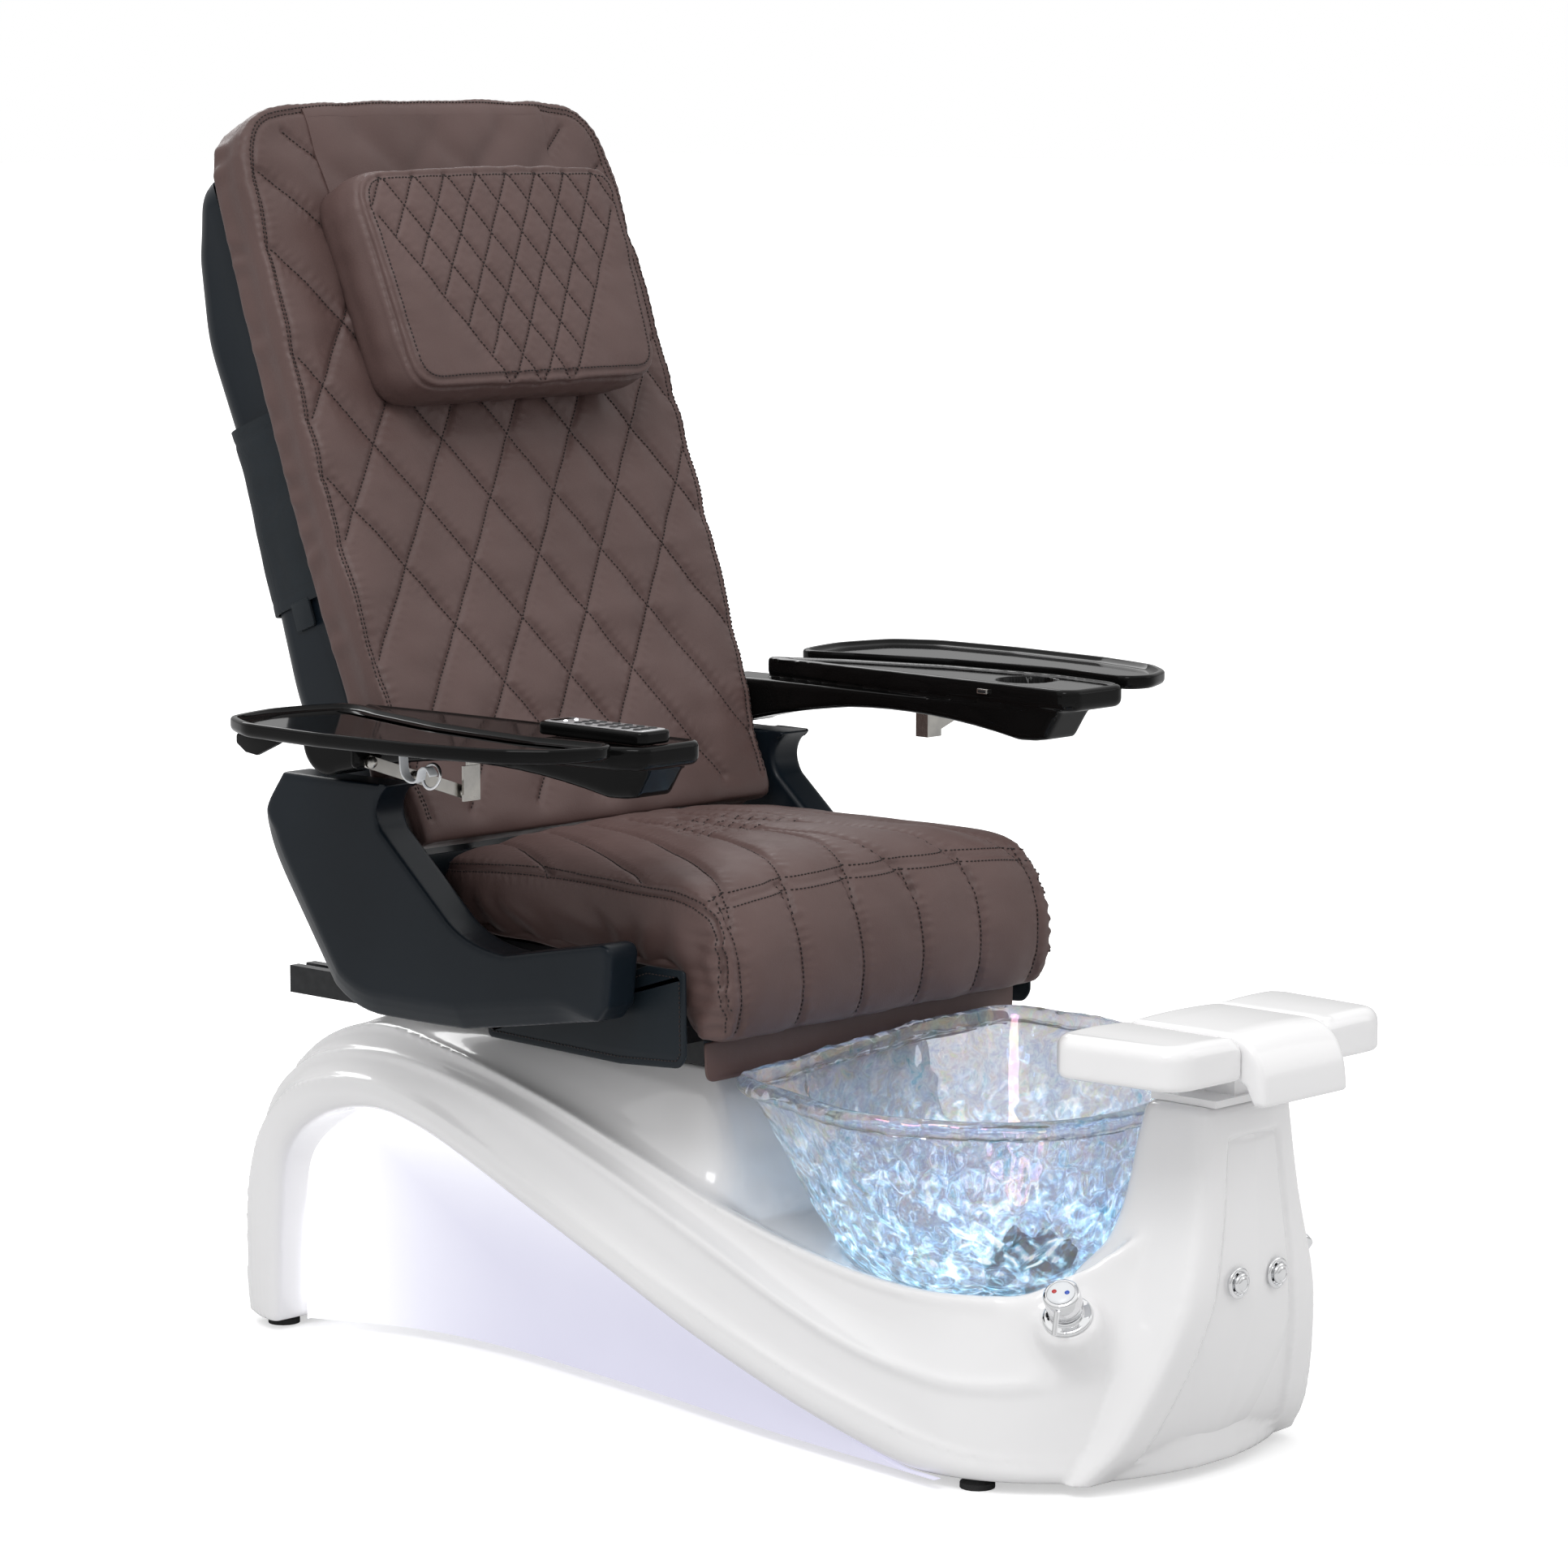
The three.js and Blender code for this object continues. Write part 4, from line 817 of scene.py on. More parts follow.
def glass_bowl():
    count = 340
    levels = np.r_[0, 0.02, 0.045, np.linspace(0.075, 0.93, 56)]
    glass, roll = 11, 10.5
    rings = [bowl_ring(v, float(BOWL_PROFILE(v)), 0, count) for v in levels]
    rim = bowl_ring(1, 1, -roll + 1, count)
    outward = rim - (0, BOWL_Y, 0)
    outward[:, 2] = 0
    outward /= np.linalg.norm(outward, axis=1)[:, None]
    for turn in np.linspace(-2.2, math.pi - 0.9, 15):
        lift = np.array((0, 0, roll * math.sin(turn) - 6))
        rings.append(rim + outward * (roll * math.cos(turn)) + lift)
    for v in levels[::-1][:-2]:
        rings.append(bowl_ring(v, float(BOWL_PROFILE(v)), -glass, count))
        rings[-1][:, 2] += 10 * (1 - v)
    centre = np.array((0, BOWL_Y, BOWL_FOOT + 12))
    rings.append((rings[-1] - centre) * 0.7 + centre)
    rings.append((rings[-1] - centre) * 0.4 + centre)
    points, faces = loft(rings)
    obj = new_object("glass_bowl_hammered", to_row(points), faces, "glass", 80)
    co, normal = coordinates_of(obj), normals_of(obj)
    cell = np.array((1, 1, 0.62)) * 1000 / 20
    dents = np.array([
        noise.voronoi(Vector(c * cell), distance_metric="DISTANCE", exponent=2)[0][0] for c in co
    ])
    drift = np.array([noise.noise(Vector(c) * 1000 / 38) for c in co])
    side = np.clip((co[:, 2] * 1000 - BOWL_FOOT - 2) / 12, 0, 1)
    from_centre = co - (0, (BOWL_Y + SHIFT) / 1000, 0)
    outside = np.where((normal[:, :2] * from_centre[:, :2]).sum(1) > 0, 1.0, 0.0)
    depth = ((0.5 - dents) * 4.2 + drift * 1.6) / 1000 * side * outside
    set_coordinates(obj, co + normal * depth[:, None])
    settle(obj, "root", "glass", "glass_bowl")


def fitting_axis(side):
    axis = np.array((0.58 * side, -0.25, 0.78))
    return axis / np.linalg.norm(axis)


def fitting_point(side, out):
    return np.array((178 * side, -572, 192)) + fitting_axis(side) * out


def base_shell():
    body = new_object("hull", to_row(hull()[0]), hull()[1], "gelcoat")
    cavity = rounded([(625, 0), (610, 180), (500, 300), (400, 330), (-10, 330), (-70, 205), (-130, 150),
                      (-560, 150), (-560, 0)], 12)
    carve(body, loft([lay(cavity, x, "yz") for x in (-138, 138)]), bowl_pocket())
    front = new_object("column", to_row(column()[0]), column()[1], "gelcoat")
    carve(front, panel_tool(1.5, -25, 5), bowl_pocket())
    bosses = []
    for _, side in SIDES:
        profile = [(0, -70), (37, -70), (37, -2), (35, 0), (0, 0)]
        points, faces = lathe(profile, fitting_point(side, 0), fitting_axis(side))
        bosses.append(new_object("boss", to_row(points), faces, "gelcoat"))
    shell = fused("base_shell_moulding", 0.0032, 4, body, front, *bosses)
    blend_column(shell)
    shell.data.shade_smooth()
    settle(shell, "root", "gelcoat", "base_shell")


def blend_column(shell):
    """Widens the fillets where the column and the bosses meet the deck by smoothing only there."""
    co = coordinates_of(shell) * 1000 - (0, SHIFT, 0)
    x, y, z = np.abs(co[:, 0]), co[:, 1], co[:, 2]
    near = smoothstep(x, 62, 84) * (1 - smoothstep(x, 190, 225)) * smoothstep(-y, 455, 500)
    near *= (1 - smoothstep(-y, 650, 668)) * smoothstep(z, 120, 170) * (1 - smoothstep(z, 330, 380))
    boss = np.minimum.reduce([np.linalg.norm(co - fitting_point(side, 0), axis=1) for _, side in SIDES])
    near *= smoothstep(boss, 34, 52)
    skirt = smoothstep(boss, 28, 32) * (1 - smoothstep(boss, 66, 86))
    for weights, rounds in ((near, 60), (skirt, 110)):
        group = weigh(shell, "fillet", weights)
        made = shell.modifiers.new("fillet", "SMOOTH")
        made.factor = 0.5
        made.iterations = rounds
        made.vertex_group = group.name
        apply_modifiers(shell)


def front_panel():
    rings = []
    for z in np.linspace(PANEL_LOW + 1, PANEL_HIGH - 1, 70):
        half, face = panel_half(z), column_face(z)
        xs = np.linspace(-half, half, 60)
        bow = 7 * (xs / column_half(z)) ** 2
        fold = 3.2 * np.abs(xs) / half
        corner = np.clip((np.abs(xs) - 16) / 60 - (z - 40) / 130, 0, None) * 9
        edge = 2.2 * (smoothstep(np.abs(xs), half - 3, half) + float(smoothstep(abs(z - 205.5), 168, 171)))
        near = np.stack([xs, face + bow + 1 + fold + corner * 0.5 + edge], 1)
        far = np.stack([xs[::-1], face + bow[::-1] + 9], 1)
        rings.append(lay(np.vstack([near, far]), z, "xy"))
    piece("front_panel_skin", *loft(rings), "gelcoat", "root", "front_panel", sharp=30)


PANEL_THICK = 10
PANEL_ROWS = 24
PANEL_REAR = 566
PANEL_NOSE = -462  # the panels stop here, before the arch runs out to nothing
PANEL_LINE = [(238, 600), (176, 440), (165, 310), (180, 150), (200, 0), (232, -200), (254, -400), (262, -470)]


def light_panels():
    """Concave glowing panels that close the arches, each trimmed to the window's outline."""
    arch = [point for point in stations(WINDOW, 60, 150) if point[0] > PANEL_NOSE]
    plan = spline(PANEL_LINE, 20)
    faces = two_sided_faces(len(arch), PANEL_ROWS)
    for label, side in SIDES:
        points = []
        for depth in (0, PANEL_THICK):
            for y, top in arch:
                x = np.interp(-y, -plan[:, 1], plan[:, 0]) - 0.4 - depth
                reach = max(top - BASE_FLOOR - 1, 0.6)
                for q in np.linspace(0, 1, PANEL_ROWS):
                    points.append((x * side, min(y, PANEL_REAR), BASE_FLOOR + reach * q))
        piece(f"light_panel_{label}_acrylic", points, faces, "light_panel", "root", f"light_panel_{label}")


# ------------------------------------------------------------------ soft goods


def soft_copy(name, node, space, voxel, rounds):
    """A CAD cushion copied into an axis-aligned space and remeshed evenly."""
    mesh = NODES[node].data.copy()
    mesh.transform(space.inverted())
    mesh.materials.clear()
    mesh.materials.append(LOOKS["leather"])
    obj = bpy.data.objects.new(name, mesh)
    bpy.context.scene.collection.objects.link(obj)
    remesh(obj, voxel)
    relax(obj, rounds)
    return obj


CLOTH_FRAMES = 20
CLOTH = {
    "quality": 4, "mass": 0.3, "tension_stiffness": 12, "compression_stiffness": 12, "shear_stiffness": 5,
    "bending_stiffness": 0.4, "use_pressure": True, "vertex_group_mass": "held", "pin_stiffness": 1,
}
PRESSURE = 4.0


def inflate(obj, held, cap):
    """Blows the cushion up with the cloth solver while the held vertices stay, then applies it."""
    weigh(obj, "held", held)
    made = obj.modifiers.new("cloth", "CLOTH")
    for key, value in CLOTH.items():
        setattr(made.settings, key, value)
    made.settings.uniform_pressure_force = PRESSURE
    made.settings.effector_weights.gravity = 0
    made.collision_settings.use_collision = False
    made.point_cache.frame_start, made.point_cache.frame_end = 1, CLOTH_FRAMES
    before = coordinates_of(obj)
    for step in range(1, CLOTH_FRAMES + 1):
        bpy.context.scene.frame_set(step)
    graph = bpy.context.evaluated_depsgraph_get()
    swollen = obj.evaluated_get(graph).to_mesh()
    after = np.empty(len(before) * 3)
    swollen.vertices.foreach_get("co", after)
    obj.evaluated_get(graph).to_mesh_clear()
    obj.modifiers.remove(made)
    bpy.context.scene.frame_set(1)
    move = after.reshape(-1, 3) - before
    size = np.maximum(np.linalg.norm(move, axis=1)[:, None], 1e-9)
    set_coordinates(obj, before + move * np.minimum(1, cap / 1000 / size))


def nearest_seam(points, lines):
    """Distance from each 2-D point to the nearest line, and how far along the lines that is."""
    best = np.full(len(points), 1e9)
    place = np.zeros(len(points))
    start = 0.0
    for line in lines:
        for a, b in zip(line[:-1], line[1:]):
            a, b = np.asarray(a, float), np.asarray(b, float)
            length = max(np.linalg.norm(b - a), 1e-9)
            t = np.clip((points - a) @ (b - a) / length**2, 0, 1)
            away = np.linalg.norm(points - a - t[:, None] * (b - a), axis=1)
            closer = away < best
            best[closer] = away[closer]
            place[closer] = start + t[closer] * length
            start += length
        start += 37
    return best, place


def sew(obj, origin, plane, facing, lines, depth=5.0, width=4.5, puff=3.0, pucker=0.5):
    """Presses sewn lines into the side of a cushion that faces one way, and puffs what lies between."""
    co = coordinates_of(obj) * 1000 - origin
    normal = normals_of(obj)
    flat = co[:, plane]
    away, place = nearest_seam(flat, lines)
    turned = smoothstep(normal @ np.asarray(facing, float), 0.25, 0.7)
    groove = -depth * np.exp(-((away / width) ** 2)) + puff * (1 - np.exp(-((away / 24) ** 2)))
    gather = pucker * np.sin(place * 2 * math.pi / 12 + 2 * ripple(co, 60)) * np.exp(-(((away - 8) / 7) ** 2))
    move = (groove + gather) * turned
    set_coordinates(obj, (co + normal * move[:, None] + origin) / 1000)


def stitch_row(tree, line, to_space, facing, shift=0.0, pitch=5.2, long=3.8, thick=0.8):
    """Small thread stitches laid on a surface along a line given in a plane."""
    points, faces = [], []
    spots = resample(np.asarray(line, float), step=pitch / 2)
    if len(spots) < 3:
        return points, faces
    ahead = np.gradient(spots, axis=0)
    ahead /= np.maximum(np.linalg.norm(ahead, axis=1)[:, None], 1e-9)
    spots = spots + np.stack([-ahead[:, 1], ahead[:, 0]], 1) * shift
    direction = -Vector(facing)
    hits = []
    for spot in spots:
        start = Vector(to_space(spot)) - direction * 400
        place, normal, _, _ = tree.ray_cast(start, direction)
        hits.append(None if place is None or normal.dot(direction) > -0.15 else (place, normal))
    for i in range(1, len(hits) - 1, 2):
        if None in (hits[i - 1], hits[i], hits[i + 1]):
            continue
        run = hits[i + 1][0] - hits[i - 1][0]
        if run.length > pitch * 2.5 or run.length < 0.3:
            continue
        run.normalize()
        centre, normal = hits[i]
        across = normal.cross(run).normalized() * thick
        up = normal * thick
        centre = centre + normal * 0.3
        base = len(points)
        points.append(centre - run * long / 2)
        for along_run in (-0.28, 0.28):
            middle = centre + run * (long * along_run) + up * 0.35
            for a, b in ((1, 0), (0.5, 0.85), (-0.5, 0.85), (-1, 0), (-0.5, -0.85), (0.5, -0.85)):
                points.append(middle + across * a + up * b)
        points.append(centre + run * long / 2)
        for k in range(6):
            j = (k + 1) % 6
            faces.append((base, base + 1 + j, base + 1 + k))
            faces.append((base + 1 + k, base + 1 + j, base + 7 + j, base + 7 + k))
            faces.append((base + 7 + k, base + 7 + j, base + 13))
    return points, faces


def surface_of(obj, origin=(0, 0, 0)):
    """Ray-cast tree of a piece, in millimetres from an origin."""
    mesh = obj.data.copy()
    mesh.transform(Matrix.Scale(1000, 4))
    mesh.transform(Matrix.Translation(-Vector(origin)))
    work = bmesh.new()
    work.from_mesh(mesh)
    tree = BVHTree.FromBMesh(work)
    work.free()
    bpy.data.meshes.remove(mesh)
    return tree


def from_plane(plane, depth):
    """Function from a point of a plane ("yz", "xz" or "xy") to space, at a depth along the third axis."""

    def place(point):
        a, b = point
        return {"yz": (depth, a, b), "xz": (a, depth, b), "xy": (a, b, depth)}[plane]

    return place


def stitches(name, obj, origin, rows, body, space=None):
    """One piece with every stitch of a cushion. rows are (line, to_space, facing, shift)."""
    tree = surface_of(obj, origin)
    made = [stitch_row(tree, *row) for row in rows]
    points, faces = merged(*[m for m in made if len(m[0])])
    sewn = new_object(name, (points + np.asarray(origin)) / 1000, faces, "thread", 60)
    if space is not None:
        sewn.data.transform(space)
    settle(sewn, body, "thread")


# Back cushion, in the back's own frame: z up the back, y to the rear
BACK_EDGE = [(-284, 30), (-303, 190), (-311, 340), (-311, 560), (-300, 830), (-290, 880), (-268, 906),
             (-212, 917), (212, 917), (268, 906), (290, 880), (300, 830), (311, 560), (311, 340), (303, 190),
             (284, 30)]


def back_half_width(z):
    left = np.array(BACK_EDGE[:8])
    return np.interp(z, left[:, 1], -left[:, 0])


def back_lattice():
    """Diagonal quilting: steep low down, flatter towards the shoulders."""
    lines = []
    for k in range(-7, 8):
        start = np.array((105.0 * k, 502.0))
        up, down = [start], [start]
        while up[-1][1] < 880 and abs(up[-1][0]) < 320:
            z = up[-1][1]
            slope = 1.41 - 0.55 * float(smoothstep(z, 600, 860))
            up.append(up[-1] + np.array((-6.0, 6.0 * slope)))
        while down[-1][1] > 60 and abs(down[-1][0]) < 320:
            down.append(down[-1] + np.array((6.0, -8.46)))
        line = np.array(up[::-1] + down[1:])
        inside = np.abs(line[:, 0]) < back_half_width(line[:, 1]) - 17
        line = line[inside & (line[:, 1] < 884) & (line[:, 1] > 62)]
        if len(line) > 4:
            lines.append(line)
            lines.append(line * (-1, 1))
    return lines


def back_cushion():
    obj = soft_copy("back_cushion_quilted", "back_cushion", BACK, 0.006, 4)
    lattice = back_lattice()
    border = spline(np.array(BACK_EDGE) * (0.945, 0.984) + (0, 2), 6)
    border = border[border[:, 1] > 45]
    co = coordinates_of(obj) * 1000
    away, _ = nearest_seam(co[:, [0, 2]], lattice + [border])
    front = co[:, 1] < 12
    held = np.where(front, np.exp(-((away / 7) ** 2)), 1.0)
    inflate(obj, held, 12)
    subdivide(obj)
    co, normal = coordinates_of(obj) * 1000, normals_of(obj)
    crown = 7 * (1 - np.clip(np.abs(co[:, 0]) / 290, 0, 1) ** 2) * smoothstep(-normal[:, 1], 0.3, 0.8)
    side = 1 - smoothstep(np.abs(normal[:, 1]), 0.35, 0.8)
    wave = 2.2 * np.sin(co[:, 2] * 2 * math.pi / 46 + 3 * ripple(co, 160))
    folds = side * smoothstep(co[:, 1], 5, 46) * wave
    tuck = -4.0 * side * np.exp(-(((co[:, 1] - 30) / 16) ** 2))
    slack = 1.1 * ripple(co, 70) * smoothstep(-normal[:, 1], 0.3, 0.8)
    co += normal * (crown + folds + tuck + slack)[:, None]
    set_coordinates(obj, co / 1000)
    facing = (0, -1, 0)
    sew(obj, 0, [0, 2], facing, lattice, depth=4.4, width=4.2, puff=3.2)
    sew(obj, 0, [0, 2], facing, [border], depth=3.6, width=3.2, puff=0)
    to_space = from_plane("xz", -8)
    rows = [(line, to_space, facing) for line in lattice]
    rows += [(border, to_space, facing, 5.0), (border, to_space, facing, 0.0)]
    stitches("back_stitching", obj, (0, 0, 0), rows, "back", BACK)
    strap(obj)
    obj.data.transform(BACK)
    obj.data.shade_smooth()
    settle(obj, "back", "leather", "back_cushion")


STRAP_HALF = 185


def strap(cushion):
    """Leather band that runs from the pillow over the top of the back and down behind it."""
    tree = surface_of(cushion)
    sources = [((0, 1, 0), (0, -300, z)) for z in np.linspace(800, 905, 14)]
    for angle in np.linspace(8, 172, 19):
        turn = math.radians(angle)
        direction = (0, math.cos(turn), -math.sin(turn))
        sources.append((direction, (0, 24 - 200 * math.cos(turn), 885 + 200 * math.sin(turn))))
    sources += [((0, -1, 0), (0, 350, z)) for z in np.linspace(905, 874, 5)]
    columns = np.linspace(-STRAP_HALF, STRAP_HALF, 60)
    top, under = [], []
    for direction, start in sources:
        row_top, row_under = [], []
        for x in columns:
            taper = 1 + 0.03 * float(smoothstep(start[2], 790, 900))
            origin = Vector((x * taper, start[1], start[2]))
            hit, normal, _, _ = tree.ray_cast(origin, Vector(direction))
            if hit is None:
                hit, normal = Vector((x * taper, 24, 900)), -Vector(direction)
            edge = 0.9 * math.cos(math.pi * x / STRAP_HALF / 2) ** 0.3 if abs(x) < STRAP_HALF else 0
            row_top.append(hit - Vector(direction) * (2.0 + edge))
            row_under.append(hit - Vector(direction) * 0.4)
        top.append(row_top)
        under.append(row_under)
    grid = np.array(top)
    for _ in range(2):
        grid[1:-1] = (grid[:-2] + 2 * grid[1:-1] + grid[2:]) / 4
    rows, count = grid.shape[:2]
    points = np.concatenate([grid.reshape(-1, 3), np.array(under).reshape(-1, 3)])
    obj = new_object("pillow_strap_band", points / 1000, two_sided_faces(rows, count), "leather", 60)
    obj.data.transform(BACK)
    settle(obj, "back", "leather", "pillow_strap")


PILLOW_TOP = 798
PILLOW_REACH = 220.5


def pillow_lattice():
    slope = 24.5 / 37.3
    lines = []
    for k in range(-5, 4):
        x0 = 24.5 + 49 * k
        fall = min(PILLOW_TOP - 537, (PILLOW_REACH - x0) / (2 * slope))
        line = np.array([(x0 + slope * t, PILLOW_TOP - t) for t in np.linspace(0, fall, 12)])
        line = line[np.abs(line[:, 0]) < 204]
        lines += [line, line * (-1, 1)]
    return lines


def pillow():
    obj = soft_copy("pillow_quilted", "pillow", BACK, 0.0045, 6)
    lattice = pillow_lattice()
    border = rounded([(-189, 549), (189, 549), (203, 798), (-203, 798)], 34, 8)
    border = np.vstack([border, border[:1]])
    co = coordinates_of(obj) * 1000
    away, _ = nearest_seam(co[:, [0, 2]], lattice + [border])
    held = np.where(co[:, 1] < -70, np.exp(-((away / 5) ** 2)), 0.9 * smoothstep(co[:, 1], -45, -25))
    inflate(obj, held, 9)
    subdivide(obj)
    co, normal = coordinates_of(obj) * 1000, normals_of(obj)
    front = smoothstep(-normal[:, 1], 0.3, 0.8)
    crown = 7 * (1 - np.clip(np.abs(co[:, 0]) / 200, 0, 1) ** 2) * front
    side = 1 - smoothstep(np.abs(normal[:, 1]), 0.4, 0.8)
    plump = 3.0 * np.exp(-(((co[:, 1] + 55) / 22) ** 2))
    piping = 2.0 * np.exp(-(((co[:, 1] + 84) / 5) ** 2))
    swell = side * (plump - piping)
    co += normal * (crown + swell + 0.7 * ripple(co, 55))[:, None]
    set_coordinates(obj, co / 1000)
    facing = (0, -1, 0)
    sew(obj, 0, [0, 2], facing, lattice, depth=3.2, width=3.0, puff=2.2, pucker=0.35)
    sew(obj, 0, [0, 2], facing, [border], depth=2.6, width=2.6, puff=0, pucker=0.2)
    to_space = from_plane("xz", -92)
    rows = [(line, to_space, facing) for line in lattice] + [(border, to_space, facing, 4.0)]
    stitches("pillow_stitching", obj, (0, 0, 0), rows, "back", BACK)
    obj.data.transform(BACK)
    obj.data.shade_smooth()
    settle(obj, "back", "leather", "pillow")


# Seat: lines on top (x, y), on the front (x, z) and on the sides (y, z)
SEAT_FANS = [
    [(49, -150), (30, -108), (14, -40), (6, 40), (4, 110), (4, 180)],
    [(148, -150), (128, -100), (98, -20), (66, 70), (46, 150), (40, 215)],
    [(247, -150), (222, -104), (186, -30), (140, 60), (104, 150), (88, 230)],
    [(268, -40), (236, 20), (196, 100), (160, 180), (140, 245)],
    [(268, 110), (240, 160), (212, 215), (196, 262)],
]
SEAT_CHANNELS = [[(x, 598), (x * 1.01, 560), (x, 515), (x * 0.985, 446)] for x in (49, 148, 247)]
SEAT_SIDE = [(292, 588), (203, 596), (118, 600), (36, 599), (-36, 596), (-95, 594), (-128, 584), (-148, 564),
             (-155, 537), (-158, 502), (-162, 467), (-158, 448)]
SEAT_FRONT = [(-262, 588), (-200, 596), (-100, 600), (0, 601), (100, 600), (200, 596), (262, 588)]


def gather_rows():
    """Short ruched rows across the middle of the seat."""
    rows = []
    for centre, slant in ((-62, -0.35), (0, 0), (62, 0.35)):
        for i in range(6):
            y = 60 + i * 19
            wide = 24 - 1.2 * i
            xs = np.linspace(centre * (1.08 - 0.07 * i) - wide, centre * (1.08 - 0.07 * i) + wide, 7)
            rows.append(np.stack([xs, y + slant * (xs - centre) * 0.4 + 2 * np.sin(xs / 5)], 1))
    return rows


def both_sides(lines):
    """The lines as smooth curves, then their mirror images."""
    curves = [spline(line, 6) for line in lines]
    return curves + [curve * (-1, 1) for curve in curves]


def seat_cushion():
    origin = np.array((0, SHIFT, 0))
    obj = soft_copy("seat_cushion_quilted", "seat_cushion", Matrix.Identity(4), 0.006, 6)
    tops, channels, gathers = both_sides(SEAT_FANS), both_sides(SEAT_CHANNELS), gather_rows()
    side, front = spline(SEAT_SIDE, 8), spline(SEAT_FRONT, 8)

    co = coordinates_of(obj) * 1000 - origin
    x, y, z = co.T
    bow = 1 - np.clip(np.abs(x) / 262, 0, 1) ** 2.4
    lift = 21 * bow * smoothstep(y, -160, -40) * smoothstep(z, 530, 606) * (1 - 0.4 * smoothstep(y, 200, 298))
    away_top, _ = nearest_seam(co[:, :2], tops)
    away_front, _ = nearest_seam(co[:, [0, 2]], channels + [front])
    away_side, _ = nearest_seam(co[:, 1:], [side])
    normal = normals_of(obj)
    held = np.maximum.reduce([
        np.exp(-((away_top / 7) ** 2)) * smoothstep(normal[:, 2], 0.3, 0.6),
        np.exp(-((away_front / 7) ** 2)) * smoothstep(-normal[:, 1], 0.3, 0.6),
        np.exp(-((away_side / 7) ** 2)) * smoothstep(np.abs(normal[:, 0]), 0.3, 0.6),
        smoothstep(-normal[:, 2], 0.3, 0.6),
        smoothstep(normal[:, 1], 0.3, 0.6),
    ])
    co[:, 2] += lift
    set_coordinates(obj, (co + origin) / 1000)
    inflate(obj, held, 14)
    subdivide(obj)
    co, normal = coordinates_of(obj) * 1000 - origin, normals_of(obj)
    flank = smoothstep(np.abs(normal[:, 0]), 0.4, 0.8)
    front_face = smoothstep(-normal[:, 1], 0.4, 0.8)
    belly = -7 * flank * (1 - smoothstep(co[:, 2], 512, 560)) * smoothstep(co[:, 1], -120, -60)
    crease = np.sin(co[:, 1] * 2 * math.pi / 54 + 2.5 * ripple(co, 130))
    creases = flank * (1 - smoothstep(co[:, 2], 545, 590)) * 2.4 * crease
    pull = np.sin(co[:, 2] * 2 * math.pi / 17 + ripple(co, 60))
    pulled = flank * smoothstep(-co[:, 1], 90, 150) * 1.3 * pull
    bulge = 3.5 * front_face * np.cos(np.clip((co[:, 2] - 520) / 90, -1, 1) * math.pi / 2)
    co += normal * (belly + creases + pulled + bulge + 0.9 * ripple(co, 75))[:, None]
    set_coordinates(obj, (co + origin) / 1000)
    up, ahead = (0, 0, 1), (0, -1, 0)
    sew(obj, origin, [0, 1], up, tops, depth=4.4, width=4.4, puff=2.6)
    sew(obj, origin, [0, 1], up, gathers, depth=2.6, width=3.0, puff=0, pucker=0.9)
    sew(obj, origin, [0, 2], ahead, channels, depth=4.2, width=4.2, puff=3.0)
    sew(obj, origin, [0, 2], ahead, [front], depth=2.4, width=2.6, puff=0, pucker=0.2)
    for sign in (-1, 1):
        sew(obj, origin, [1, 2], (sign, 0, 0), [side], depth=3.4, width=3.2, puff=0)
    on_top, on_front = from_plane("xy", 610), from_plane("xz", -166)
    rows = [(line, on_top, up) for line in tops + gathers] + [(line, on_front, ahead) for line in channels]
    rows += [(front, on_front, ahead, 6.0), (front, on_front, ahead, -6.0)]
    for sign in (-1, 1):
        on_side = from_plane("yz", sign * 268)
        rows += [(side, on_side, (sign, 0, 0), 4.5), (side, on_side, (sign, 0, 0), -4.5)]
    stitches("seat_stitching", obj, origin, rows, "carriage")
    obj.data.shade_smooth()
    settle(obj, "carriage", "leather", "seat_cushion")


# ------------------------------------------------------------------ sheets: apron, skirts and sleeve


SKIRT = [(-120, 519), (-62, 519), (190, 425), (188, 409), (-20, 405), (-112, 411), (-121, 424)]
APRON_HALF = 256


def skirts():
    for label, side in SIDES:
        outline = rounded(SKIRT, (5, 20, 12, 8, 60, 16, 16), 8)
        outline = resample(outline, step=4, closed=True)
        hemmed = ((5, 288.2), (8, 287.4), (11, 288.0))
        points, faces = slab(outline, 284, 288, 1.6, "yz", steps=4, extra=hemmed)
        points = mirrored(points, side)
        node = f"side_skirt_{label}"
        obj = piece(f"{node}_vinyl", points, faces, "navy_vinyl", "carriage", node, sharp=50)
        hem = outline + inward(outline) * 8
        hem = np.vstack([hem, hem[:1]])
        rows = [(hem, from_plane("yz", side * 288), (side, 0, 0))]
        stitches(f"{node}_stitching", obj, (0, SHIFT, 0), rows, "carriage")


def rear_panels():
    """Vinyl panels that close the seat's rear below the back, one each side of the recline actuator."""
    for label, side in SIDES:
        outline = rounded([(74, 452), (282, 452), (282, 602), (74, 602)], 10, 6)
        points, faces = slab(resample(outline, step=4, closed=True), 300, 303, 1.2, "xz", steps=3)
        points[:, 1] += 1.2 * ripple(points, 90)
        points = mirrored(points, side)
        obj = piece(f"seat_rear_panel_{label}", points, faces, "navy_vinyl", "carriage", sharp=50)


def apron():
    """Leather splash flap that hangs under the seat's front edge."""
    corners = [(-APRON_HALF, 392), (APRON_HALF, 392), (APRON_HALF, 436), (-APRON_HALF, 436)]
    outline = resample(rounded(corners, (14, 14, 3, 3), 8), step=3, closed=True)
    points, faces = slab(outline, -121, -117.5, 1.5, "xz", steps=4)
    points[:, 1] += 1.6 * np.sin(points[:, 0] / 31) * smoothstep(436 - points[:, 2], 4, 40)
    obj = piece("apron_flap_leather", points, faces, "leather", "carriage", "apron_flap", sharp=50)
    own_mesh(obj)


